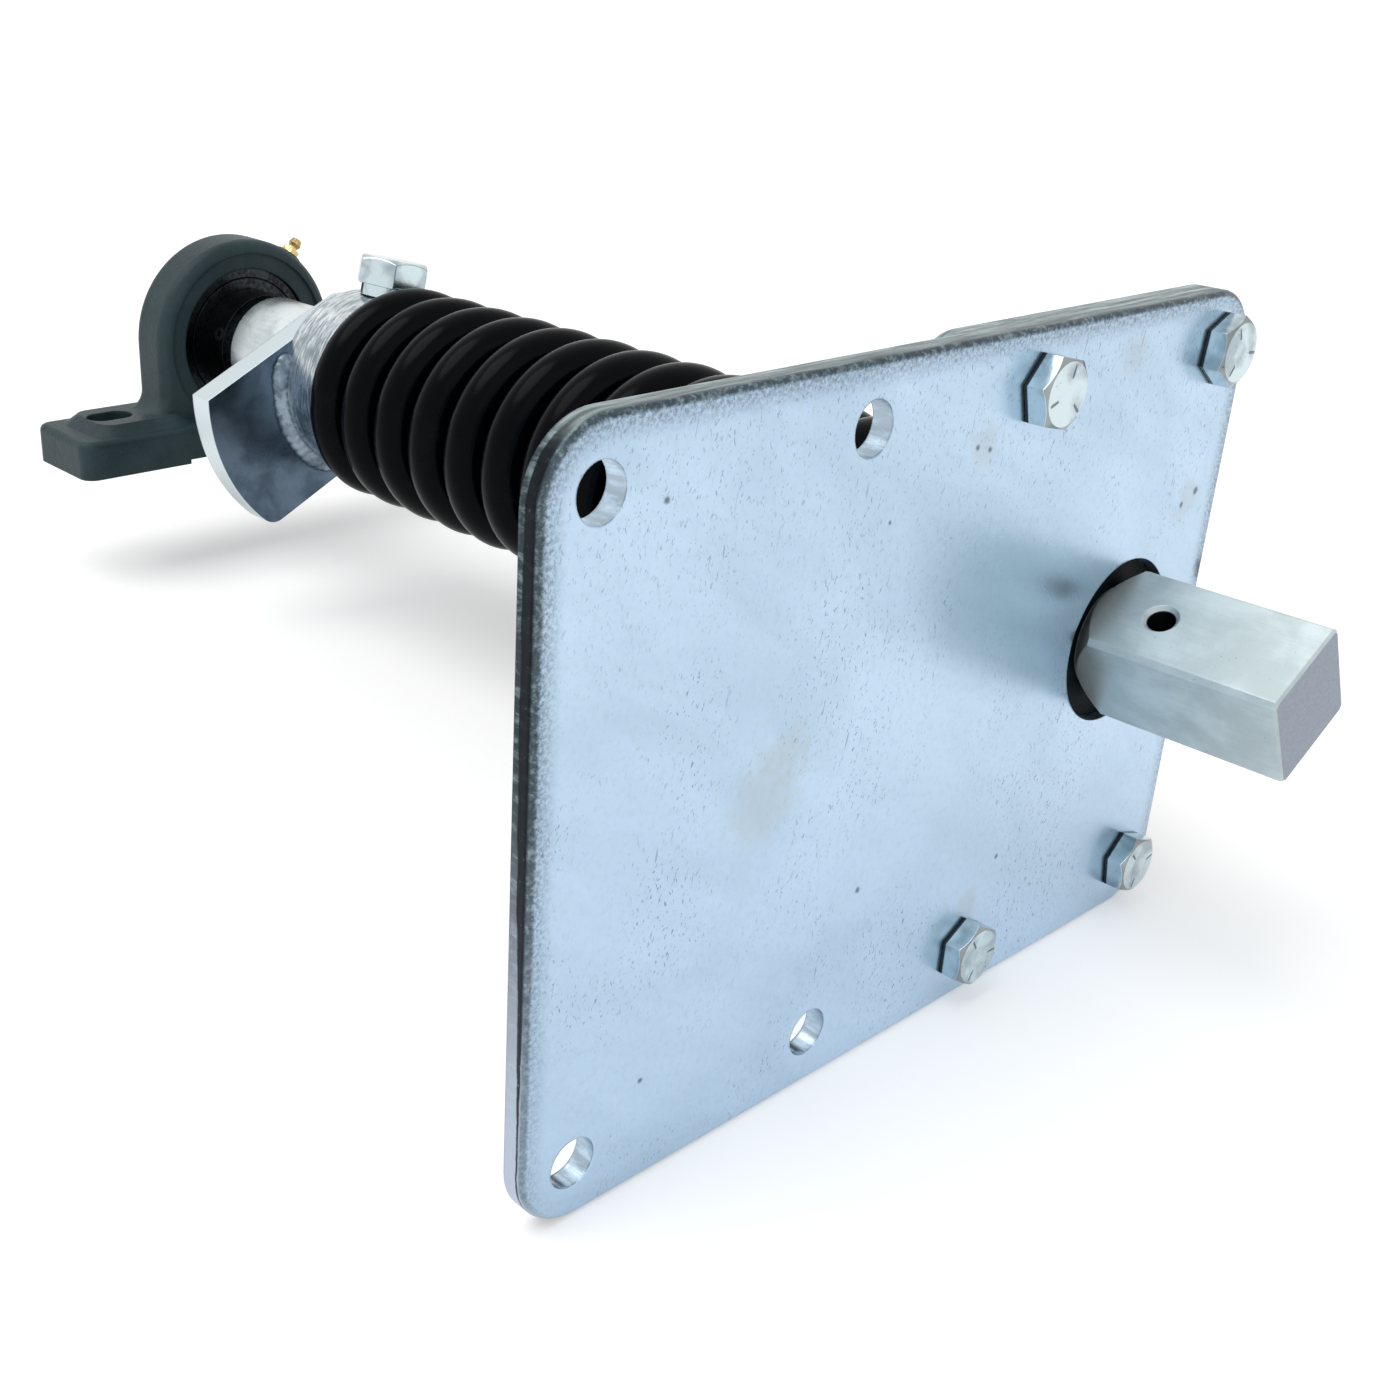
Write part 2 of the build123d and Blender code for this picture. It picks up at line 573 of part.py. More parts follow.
def make_bearing_housing():
    """The cast block: arch, foot, pads, a ball-shaped seat and the two slots that let the ring in."""
    body = slab(foot_profile(), -HOUSING_WIDTH / 2, HOUSING_WIDTH)
    rims = body.edges().filter_by(lambda e: e.length > HOUSING_DIAMETER and e.geom_type == GeomType.CIRCLE)
    body = fillet(rims, HOUSING_EDGE_ROUND)
    foot = extrude(RectangleRounded(FOOT_LENGTH, FOOT_WIDTH, FOOT_CORNER_RADIUS), amount=FOOT_THICKNESS)
    foot = Pos(0, 0, -housing_centre_height) * foot
    foot = fillet(foot.faces().sort_by(Axis.Z)[-1].edges(), FOOT_EDGE_ROUND)
    body += foot + make_pad(1) + make_pad(-1)
    body -= Pos(0, -HOUSING_WIDTH / 2, 0) * rod(HOUSING_RECESS_DIAMETER / 2, -1, HOUSING_RECESS_DEPTH)
    body -= Rot(90, 0, 0) * Sphere(outer_ring_radius + RING_SEAT_CLEARANCE)
    entry = Box(OUTER_RING_DIAMETER + 2 * LOADING_SLOT_CLEARANCE, HOUSING_WIDTH,
                OUTER_RING_WIDTH + 2 * LOADING_SLOT_CLEARANCE)
    body -= Pos(0, HOUSING_WIDTH / 2, 0) * entry
    slot = extrude(SlotOverall(SLOT_LENGTH, SLOT_WIDTH), amount=2 * housing_centre_height, both=True)
    for side in (-1, 1):
        body -= Pos(side * SLOT_SPACING / 2, 0, -housing_centre_height) * slot
    relief = Box(BASE_RELIEF_LENGTH, 2 * FOOT_WIDTH, 2 * BASE_RELIEF_DEPTH)
    body -= Pos(0, 0, -housing_centre_height) * relief
    boss = round_bar(NIPPLE_BOSS_DIAMETER / 2, outer_ring_radius + 2, boss_top)
    thread_radius = NIPPLE_THREAD_DIAMETER / 2 + THREAD_CLEARANCE
    thread = round_bar(thread_radius, boss_top - NIPPLE_THREAD_LENGTH, boss_top + 1)
    passage = round_bar(GREASE_PASSAGE_DIAMETER / 2, outer_ring_radius - 1, boss_top)
    body += radial(boss, NIPPLE_TURN, 0)
    body -= radial(thread + passage, NIPPLE_TURN, 0)
    return Pos(0, bearing_centre, 0) * body


def make_grease_nipple():
    """A brass nipple: thread, hexagon, waist and rounded head, with its grease hole."""
    neck = NIPPLE_NECK_DIAMETER / 2
    hex_top = boss_top + NIPPLE_HEX_HEIGHT
    top = hex_top + NIPPLE_HEAD_HEIGHT
    widest = hex_top + NIPPLE_HEAD_HEIGHT / 2
    outline = [(0, hex_top), (neck, hex_top), (neck, hex_top + 1), (NIPPLE_HEAD_DIAMETER / 2, widest),
               (neck, top), (0, top)]
    head = revolve(make_face(Plane.XZ * Polyline(*outline, close=True)), Axis.Z)
    stem = round_bar(NIPPLE_THREAD_DIAMETER / 2, boss_top - NIPPLE_THREAD_LENGTH, boss_top)
    nipple = head + stem + hex_prism(NIPPLE_HEX_FLATS, boss_top, hex_top)
    nipple -= round_bar(GREASE_PASSAGE_DIAMETER / 4, 0, top + 1)
    return radial(nipple, NIPPLE_TURN, bearing_centre)


PIECES = {
    "main_plate": make_main_plate(),
    "backing_plate": make_backing_plate(),
    "hub_tube": make_hub_tube(),
    "hub_weld": make_hub_weld(),
    "shaft_bushing": make_shaft_bushing(),
    "plate_bolts": on_bolts(plate_bolt),
    "plate_washers": on_bolts(plate_washer),
    "plate_lock_washers": on_bolts(plate_lock_washer),
    "plate_nuts": on_bolts(plate_nut),
    "torsion_spring": make_torsion_spring(),
    "front_spring_weld": make_front_spring_weld(),
    "drive_shaft": make_drive_shaft(),
    "tension_collar": make_tension_collar(),
    "rear_spring_weld": make_rear_spring_weld(),
    "tension_plate": make_tension_plate(),
    "tension_plate_weld": make_tension_plate_weld(),
    "set_bolt": make_set_bolt(),
    "set_bolt_lock_washer": make_set_bolt_lock_washer(),
    "spacer_sleeve": make_spacer_sleeve(),
    "bearing_housing": make_bearing_housing(),
    "bearing_outer_ring": make_bearing_outer_ring(),
    "bearing_inner_ring": make_bearing_inner_ring(),
    "bearing_balls": make_bearing_balls(),
    "bearing_cage": make_bearing_cage(),
    "front_seal": make_seal(-1),
    "rear_seal": make_seal(1),
    "front_flinger": make_flinger(-1),
    "rear_flinger": make_flinger(1),
    "bearing_set_screws": make_bearing_set_screws(),
    "grease_nipple": make_grease_nipple(),
}

os.makedirs("parts", exist_ok=True)
for name, piece in PIECES.items():
    export_step(piece, f"parts/{name}.step")
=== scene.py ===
import logging
import math
from dataclasses import dataclass, field
from enum import Enum

import bmesh
import bpy
import numpy as np
from mathutils import Matrix, Vector


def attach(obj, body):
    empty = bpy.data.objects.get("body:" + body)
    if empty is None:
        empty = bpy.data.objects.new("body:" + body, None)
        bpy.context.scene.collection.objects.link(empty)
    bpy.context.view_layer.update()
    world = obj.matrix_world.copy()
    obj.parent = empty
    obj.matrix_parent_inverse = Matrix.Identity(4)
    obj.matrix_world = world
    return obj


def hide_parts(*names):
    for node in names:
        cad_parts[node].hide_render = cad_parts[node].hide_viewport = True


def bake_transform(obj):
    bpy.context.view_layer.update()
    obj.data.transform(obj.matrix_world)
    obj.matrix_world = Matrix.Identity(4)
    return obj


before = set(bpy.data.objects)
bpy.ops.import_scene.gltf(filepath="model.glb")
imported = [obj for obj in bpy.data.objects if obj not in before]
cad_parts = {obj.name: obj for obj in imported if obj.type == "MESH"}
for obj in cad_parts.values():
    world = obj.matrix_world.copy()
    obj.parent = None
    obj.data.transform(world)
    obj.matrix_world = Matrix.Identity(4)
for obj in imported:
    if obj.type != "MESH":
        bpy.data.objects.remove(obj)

log = logging.getLogger("tarp_arm_spring")

MM = 0.001
Socket = bpy.types.NodeSocket
Array = np.ndarray


class Body(Enum):
    """The two bodies that the dressed pieces ride on."""

    MOUNT = "mount_side"
    DRIVE = "drive_side"


class Graph:
    """One material's node tree, with short ways to add the nodes that every finish needs."""

    def __init__(self, name: str) -> None:
        """Start a material with a Principled shader.

        Args:
            name: the material's name.
        """
        self.material = bpy.data.materials.new(name)
        self.material.use_nodes = True
        self.tree = self.material.node_tree
        self.shader = self.tree.nodes["Principled BSDF"]
        coordinates = self.tree.nodes.new("ShaderNodeTexCoord")
        self.object_coords = coordinates.outputs["Object"]
        self.normal_coords = coordinates.outputs["Normal"]

    def link(self, source: Socket, target: Socket) -> None:
        """Join an output to an input."""
        self.tree.links.new(source, target)

    def feed(self, target: Socket, value: "Socket | float | tuple") -> None:
        """Give an input a value or another node's output.

        Args:
            target: the input socket.
            value: a number, a colour or an output socket.
        """
        if isinstance(value, bpy.types.NodeSocket):
            self.link(value, target)
        elif isinstance(value, tuple) and len(value) == 3 and target.type == "RGBA":
            target.default_value = (*value, 1.0)
        else:
            target.default_value = value

    def surface(self, **values: "Socket | float | tuple") -> None:
        """Set the shader's sockets, named in lower case with underscores."""
        for key, value in values.items():
            self.feed(self.shader.inputs[key.replace("_", " ").title().replace("Ior", "IOR")], value)

    def stretched(self, x: float = 1.0, y: float = 1.0, z: float = 1.0, turn: float = 0.0) -> Socket:
        """Object coordinates scaled unevenly.

        Args:
            x: scale along X.
            y: scale along Y.
            z: scale along Z.
            turn: how far the pattern is turned about Y first, in degrees.

        Returns:
            The scaled vector.
        """
        node = self.tree.nodes.new("ShaderNodeMapping")
        node.vector_type = "TEXTURE"
        node.inputs["Scale"].default_value = (1 / x, 1 / y, 1 / z)
        node.inputs["Rotation"].default_value = (0.0, math.radians(turn), 0.0)
        self.link(self.object_coords, node.inputs["Vector"])
        return node.outputs["Vector"]

    def noise(self, scale: float, detail: float = 3.0, roughness: float = 0.5, distortion: float = 0.0,
              vector: "Socket | None" = None) -> Socket:
        """Fractal noise from 0 to 1, centred near a half.

        Args:
            scale: cells per metre.
            detail: octaves.
            roughness: weight of each finer octave.
            distortion: how far the pattern is pulled about.
            vector: coordinates, or None for Object coordinates.

        Returns:
            The noise value.
        """
        node = self.tree.nodes.new("ShaderNodeTexNoise")
        self.link(vector or self.object_coords, node.inputs["Vector"])
        for key, value in {"Scale": scale, "Detail": detail, "Roughness": roughness,
                           "Distortion": distortion}.items():
            node.inputs[key].default_value = value
        return node.outputs["Fac"]

    def math(self, operation: str, *values: "Socket | float") -> Socket:
        """One Math node.

        Args:
            operation: Blender's name for the operation.
            values: its inputs in order.

        Returns:
            The result.
        """
        node = self.tree.nodes.new("ShaderNodeMath")
        node.operation = operation
        for socket, value in zip(node.inputs, values):
            self.feed(socket, value)
        return node.outputs[0]

    def step(self, value: Socket, low: float, high: float, to_low: float = 0.0,
             to_high: float = 1.0) -> Socket:
        """A smooth step: a value below low gives to_low, above high gives to_high.

        Args:
            value: the value to map.
            low: start of the step.
            high: end of the step.
            to_low: result below the step.
            to_high: result above the step.

        Returns:
            The stepped value.
        """
        node = self.tree.nodes.new("ShaderNodeMapRange")
        node.interpolation_type = "SMOOTHSTEP"
        for key, number in {"From Min": low, "From Max": high, "To Min": to_low, "To Max": to_high}.items():
            node.inputs[key].default_value = number
        self.link(value, node.inputs["Value"])
        return node.outputs["Result"]

    def mix(self, factor: "Socket | float", first: "Socket | tuple", second: "Socket | tuple") -> Socket:
        """A colour between two others.

        Args:
            factor: 0 for the first, 1 for the second.
            first: a colour.
            second: a colour.

        Returns:
            The mixed colour.
        """
        node = self.tree.nodes.new("ShaderNodeMix")
        node.data_type = "RGBA"
        self.feed(node.inputs[0], factor)
        self.feed(node.inputs[6], first)
        self.feed(node.inputs[7], second)
        return node.outputs[2]

    def part(self, axis: str, source: "Socket | None" = None) -> Socket:
        """One component of the Object coordinates, or of another vector."""
        node = self.tree.nodes.new("ShaderNodeSeparateXYZ")
        self.link(source or self.object_coords, node.inputs[0])
        return node.outputs[axis]

    def normal_part(self, axis: str) -> Socket:
        """One component of the surface's normal, in the object's own axes."""
        return self.part(axis, self.normal_coords)

    def forward(self) -> Socket:
        """How far a face looks forward, along -Y: 1 for a face that looks straight there."""
        return self.math("MULTIPLY", self.normal_part("Y"), -1.0)

    def vector_math(self, operation: str, source: Socket,
                    constant: tuple = (0.0, 0.0, 0.0)) -> bpy.types.Node:
        """One Vector Math node on a vector and a constant.

        Args:
            operation: Blender's name for the operation.
            source: the vector.
            constant: the second vector.

        Returns:
            The node, whose outputs are Vector and Value.
        """
        node = self.tree.nodes.new("ShaderNodeVectorMath")
        node.operation = operation
        self.link(source, node.inputs[0])
        node.inputs[1].default_value = constant
        return node

    def nearness(self, centre: tuple[float, float, float], reach: float, wobble: float) -> Socket:
        """A soft spot: 1 at a point and 0 past a distance from it, with a ragged edge.

        Args:
            centre: the point, in metres.
            reach: the spot's radius, in metres.
            wobble: how ragged the edge is, in metres.

        Returns:
            The spot's strength.
        """
        distance = self.vector_math("DISTANCE", self.object_coords, centre).outputs["Value"]
        ragged = self.math("MULTIPLY_ADD", self.noise(180.0, 4.0, 0.65), wobble, -0.5 * wobble)
        return self.step(self.math("ADD", distance, ragged), 0.25 * reach, reach, 1.0, 0.0)

    def bump(self, height: Socket, depth: float, strength: float, edge: float = 0.0) -> Socket:
        """A bumped normal over softened edges.

        Args:
            height: the height pattern, 0 to 1.
            depth: how deep the pattern is, in metres.
            strength: how much of it shows.
            edge: radius that sharp edges are softened to, in metres, or 0.

        Returns:
            The normal.
        """
        node = self.tree.nodes.new("ShaderNodeBump")
        node.inputs["Strength"].default_value = strength
        node.inputs["Distance"].default_value = depth
        self.link(height, node.inputs["Height"])
        if edge:
            self.link(self.rounded(edge), node.inputs["Normal"])
        return node.outputs["Normal"]

    def rounded(self, radius: float) -> Socket:
        """A normal whose sharp edges look rounded to a radius."""
        node = self.tree.nodes.new("ShaderNodeBevel")
        node.samples = 8
        node.inputs["Radius"].default_value = radius
        return node.outputs["Normal"]


@dataclass(frozen=True)
class ZincSheet:
    """Bright zinc on rolled steel plate: pale blue, with mottling, ticks, nicks and faint stains.

    Each stain and nick is given as X, Z and radius on the front face, which stands at Y = 0.
    """

    name: str = "bright_zinc_sheet"
    pale: tuple = (0.52, 0.67, 0.83)
    deep: tuple = (0.43, 0.57, 0.71)
    green: tuple = (0.42, 0.52, 0.56)
    stain: tuple = (0.42, 0.46, 0.46)
    speck: tuple = (0.09, 0.12, 0.16)
    tick: tuple = (0.15, 0.22, 0.32)
    # rim_dark and rim_light colour the painted shade on a face's rounded edge, and the ripples of the upright
    # sheared sides
    rim_dark: tuple = (0.035, 0.05, 0.058)
    rim_light: tuple = (0.20, 0.27, 0.29)
    burnish: tuple = (0.44, 0.53, 0.54)
    burnish_dark: tuple = (0.16, 0.21, 0.22)
    crack: tuple = (0.010, 0.013, 0.017)
    worn_pale: tuple = (0.50, 0.57, 0.68)
    hole_grey: tuple = (0.36, 0.45, 0.52)
    roughness: float = 0.28
    thickness: float = 6.35 * MM
    centre_x: float = -94.45 * MM
    half_width: float = 139.7 * MM
    half_height: float = 101.6 * MM
    corner: float = 19.0 * MM
    stains: tuple = ((-0.158, -0.004, 0.018), (-0.150, 0.006, 0.011), (-0.018, 0.089, 0.008),
                     (0.027, 0.040, 0.009), (-0.084, 0.073, 0.008), (0.036, -0.030, 0.010),
                     (-0.060, -0.070, 0.007))
    nicks: tuple = ((0.031, 0.0415, 0.0016), (0.024, 0.0383, 0.0014), (-0.087, 0.0735, 0.0011),
                    (-0.0815, 0.0722, 0.0011), (-0.1985, 0.080, 0.0013), (-0.1955, -0.0705, 0.0012),
                    (-0.115, -0.0452, 0.0015), (-0.120, 0.060, 0.0010), (-0.048, -0.058, 0.0011))
    stain_share: float = 0.35
    nick_share: float = 0.85
    edge_mark: tuple = (0.0452, 0.002, 0.015)

    def from_border(self, g: Graph) -> Socket:
        """Distance in from the plate's rounded outline, in metres.

        It is the corner radius less the length of what lies outside the rectangle that the corner
        arcs stand on, and inside that rectangle the plain distance to the nearest side.

        Args:
            g: the material's graph.

        Returns:
            The distance.
        """
        across = g.math("ABSOLUTE", g.math("SUBTRACT", g.part("X"), self.centre_x))
        over_x = g.math("SUBTRACT", across, self.half_width - self.corner)
        over_z = g.math("SUBTRACT", g.math("ABSOLUTE", g.part("Z")), self.half_height - self.corner)
        out_x = g.math("MAXIMUM", over_x, 0.0)
        out_z = g.math("MAXIMUM", over_z, 0.0)
        squares = g.math("ADD", g.math("MULTIPLY", out_x, out_x), g.math("MULTIPLY", out_z, out_z))
        inner = g.math("MINIMUM", g.math("MAXIMUM", over_x, over_z), 0.0)
        return g.math("SUBTRACT", self.corner, g.math("ADD", g.math("SQRT", squares), inner))

    def blue(self, g: Graph, cloud: Socket) -> Socket:
        """The zinc's own colour: slow clouds of two blues and fine mottling.

        Args:
            g: the material's graph.
            cloud: the slow cloud, 0 to 1.

        Returns:
            The colour.
        """
        streak = g.noise(26.0, 4.0, 0.6, 0.5, g.stretched(0.7, 1.0, 2.4, 35.0))
        tone = g.math("ADD", g.math("MULTIPLY", cloud, 0.7), g.math("MULTIPLY", streak, 0.3))
        colour = g.mix(g.step(tone, 0.36, 0.62), self.deep, self.pale)
        mottle = g.noise(480.0, 5.0, 0.65)
        return g.mix(g.step(mottle, 0.46, 0.7, 0.0, 0.35), colour, self.green)

    def marks(self, g: Graph, colour: Socket) -> Socket:
        """Stains, small dark ticks in three directions, more of them high up, and nicks.

        Args:
            g: the material's graph.
            colour: the zinc's colour.

        Returns:
            The marked colour.
        """
        for x, z, reach in self.stains:
            spot = g.nearness((x, 0.0, z), reach, 1.3 * reach)
            colour = g.mix(g.math("MULTIPLY", spot, self.stain_share), colour, self.stain)
        high_up = g.step(g.part("Z"), 0.02, 0.09, 0.0, 0.7)
        worn = g.math("MAXIMUM", g.step(g.noise(20.0, 3.0, 0.6), 0.44, 0.62), high_up)
        ticks = g.step(g.noise(1000.0, 2.0, 0.6, 0.2, g.stretched(1.3, 1.0, 0.45, 28.0)), 0.63, 0.67)
        others = g.step(g.noise(900.0, 2.0, 0.6, 0.2, g.stretched(1.3, 1.0, 0.4, -12.0)), 0.64, 0.68)
        hairs = g.step(g.noise(700.0, 2.0, 0.6, 0.4, g.stretched(1.3, 1.0, 0.16, 8.0)), 0.68, 0.71, 0.0, 0.8)
        ticks = g.math("MAXIMUM", g.math("MAXIMUM", ticks, others), hairs)
        colour = g.mix(g.math("MULTIPLY", ticks, g.math("MULTIPLY_ADD", worn, 0.75, 0.06)), colour, self.tick)
        for x, z, reach in self.nicks:
            spot = g.nearness((x, 0.0, z), reach, 1.6 * reach)
            colour = g.mix(g.math("MULTIPLY", spot, self.nick_share), colour, self.speck)
        return g.mix(g.nearness(self.edge_mark, 0.007, 0.006), colour, self.crack)

    def rim(self, g: Graph, border: Socket, colour: Socket) -> Socket:
        """The edge of a face, front or back: a dark streaked line of painted shade on the rounded edge, then
        a grainy darkening that fades inwards.

        Both are weaker towards the bottom edge.

        Args:
            g: the material's graph.
            border: distance in from the outline, in metres.
            colour: the colour of the face.

        Returns:
            The colour with its dark edge.
        """
        ragged = g.math("ADD", border, g.math("MULTIPLY_ADD", g.noise(650.0, 4.0, 0.7), 0.0022, -0.0011))
        weaker_low = g.math("MULTIPLY", g.step(g.part("Z"), -0.100, -0.085, 0.2, 1.0),
                       g.step(g.part("Z"), -0.08, 0.03, 0.6, 1.0))
        grit = g.step(g.noise(900.0, 4.0, 0.7), 0.36, 0.66, 0.2, 1.0)
        edge_darkening = g.math("MULTIPLY", g.step(border, 0.0015, 0.0085, 0.8, 0.0), grit)
        colour = g.mix(g.math("MULTIPLY", edge_darkening, weaker_low), colour, self.speck)
        # painted shade: a dark streaked line on the plate's rounded edge
        drawn = g.mix(g.step(g.noise(480.0, 4.0, 0.75), 0.46, 0.7), self.rim_dark, self.rim_light)
        return g.mix(g.math("MULTIPLY", g.step(ragged, 0.0010, 0.0022, 0.9, 0.0), weaker_low), colour, drawn)

    def side(self, g: Graph) -> Socket:
        """The sheared sides: a dark broken strip behind the front edge in streaked grey metal.

        On the upright sides the metal turns paler and the strip narrower low down.

        Args:
            g: the material's graph.

        Returns:
            The colour.
        """
        depth = g.math("DIVIDE", g.part("Y"), self.thickness)
        wander = g.math("MULTIPLY_ADD", g.noise(60.0, 5.0, 0.65), 0.3, -0.15)
        depth = g.math("ADD", depth, wander)
        upright = g.step(g.math("ABSOLUTE", g.normal_part("X")), 0.3, 0.8)
        low = g.math("MULTIPLY", g.step(g.part("Z"), -0.08, 0.03, 1.0, 0.0), upright)
        drag = g.noise(420.0, 4.0, 0.7, 0.2, g.stretched(0.12, 1.6, 0.12))
        ripples = g.noise(420.0, 3.0, 0.7, 0.3, g.stretched(1.0, 0.35, 1.0))
        dragged = g.mix(g.step(drag, 0.36, 0.66), self.burnish_dark, self.burnish)
        rippled = g.mix(g.step(ripples, 0.46, 0.74), self.rim_dark, self.rim_light)
        dragged = g.mix(upright, dragged, g.mix(g.math("MULTIPLY", low, 0.9), rippled, self.worn_pale))
        front = g.math("MULTIPLY_ADD", low, 0.16, 0.04)
        back = g.math("MULTIPLY_ADD", low, -0.40, 0.76)
        past_front = g.step(g.math("SUBTRACT", depth, front), 0.0, 0.06)
        broken = g.math("MULTIPLY", past_front, g.step(g.math("SUBTRACT", back, depth), 0.0, 0.08))
        crumbs = g.step(g.noise(700.0, 3.0, 0.7), 0.62, 0.72, 1.0, 0.3)
        share = g.math("MULTIPLY_ADD", upright, 0.6, 0.35)
        broken = g.math("MULTIPLY", g.math("MULTIPLY", broken, share), crumbs)
        return g.mix(broken, dragged, self.crack)

    def hole_wall(self, g: Graph) -> Socket:
        """The drilled walls: smooth grey metal with faint streaks along the drill's way."""
        streaks = g.noise(500.0, 3.0, 0.6, 0.0, g.stretched(1.0, 0.3, 1.0))
        return g.mix(g.step(streaks, 0.4, 0.7), self.hole_grey, self.pale)

    def build(self) -> bpy.types.Material:
        """The finish of a plate. Sheared sides are told from faces and hole walls by normal and place.

        Returns:
            The material.
        """
        g = Graph(self.name)
        border = self.from_border(g)
        cloud = g.noise(8.0, 5.0, 0.55, 0.6)
        sideways = g.step(g.math("ABSOLUTE", g.normal_part("Y")), 0.2, 0.6, 1.0, 0.0)
        sheared = g.math("MULTIPLY", sideways, g.step(border, 0.002, 0.004, 1.0, 0.0))
        drilled = g.math("SUBTRACT", sideways, sheared)
        colour = self.rim(g, border, self.marks(g, self.blue(g, cloud)))
        colour = g.mix(sheared, colour, self.side(g))
        colour = g.mix(drilled, colour, self.hole_wall(g))
        rough = g.math("MULTIPLY_ADD", cloud, 0.1, self.roughness - 0.05)
        rough = g.math("ADD", rough, g.math("MULTIPLY", sheared, 0.15))
        peel = g.noise(420.0, 4.0, 0.6)
        g.surface(base_color=colour, metallic=1.0, roughness=rough,
                  normal=g.bump(peel, 0.00008, 0.45, 0.0009))
        return g.material


@dataclass(frozen=True)
class ZincHardware:
    """Zinc on bolts, nuts and washers: greenish white, with small forging marks and painted shade on
    chamfers, under heads and on grade lines.
    """

    name: str = "zinc_hardware"
    pale: tuple = (0.60, 0.71, 0.74)
    deep: tuple = (0.36, 0.44, 0.48)
    mark: tuple = (0.05, 0.07, 0.09)
    # this colour and the next are painted shade: on chamfers that look forward, under a plate bolt's head and
    # on its grade lines
    chamfer: tuple = (0.16, 0.15, 0.14)
    painted_shade: tuple = (0.008, 0.012, 0.015)
    roughness: float = 0.17
    face_height: float = 7.0 * MM

    def build(self) -> bpy.types.Material:
        """The finish of the bolts, nuts and washers.

        Chamfers that look forward are darkened with painted shade. A plate bolt has a dark line of
        painted shade where its head meets the plate, and its grade lines are painted dark as shade.

        Returns:
            The material.
        """
        g = Graph(self.name)
        cloud = g.noise(90.0, 3.0, 0.5, 0.3)
        scuff = g.noise(800.0, 3.0, 0.65)
        colour = g.mix(g.step(cloud, 0.34, 0.56), self.deep, self.pale)
        forward = g.forward()
        # painted shade on the chamfers that look forward
        rim = g.math("MULTIPLY", g.step(forward, 0.76, 0.82), g.step(forward, 0.9, 0.96, 0.65, 0.0))
        colour = g.mix(rim, colour, self.chamfer)
        along = g.part("Y")
        # painted shade: a dark line where a plate bolt's head meets the plate, and dark raised grade lines on
        # its head
        painted_shade = g.math("MULTIPLY", g.step(along, -0.0013, -0.0009), g.step(along, 0.0, 0.0006, 0.95, 0.0))
        raised = g.step(along, -self.face_height - 0.00026, -self.face_height - 0.0001, 0.65, 0.0)
        colour = g.mix(g.math("MAXIMUM", painted_shade, raised), colour, self.painted_shade)
        colour = g.mix(g.step(scuff, 0.64, 0.74, 0.0, 0.7), colour, self.mark)
        rough = g.math("MULTIPLY_ADD", cloud, 0.14, self.roughness - 0.05)
        g.surface(base_color=colour, metallic=1.0, roughness=rough,
                  normal=g.bump(scuff, 0.00005, 0.5, 0.0004))
        return g.material


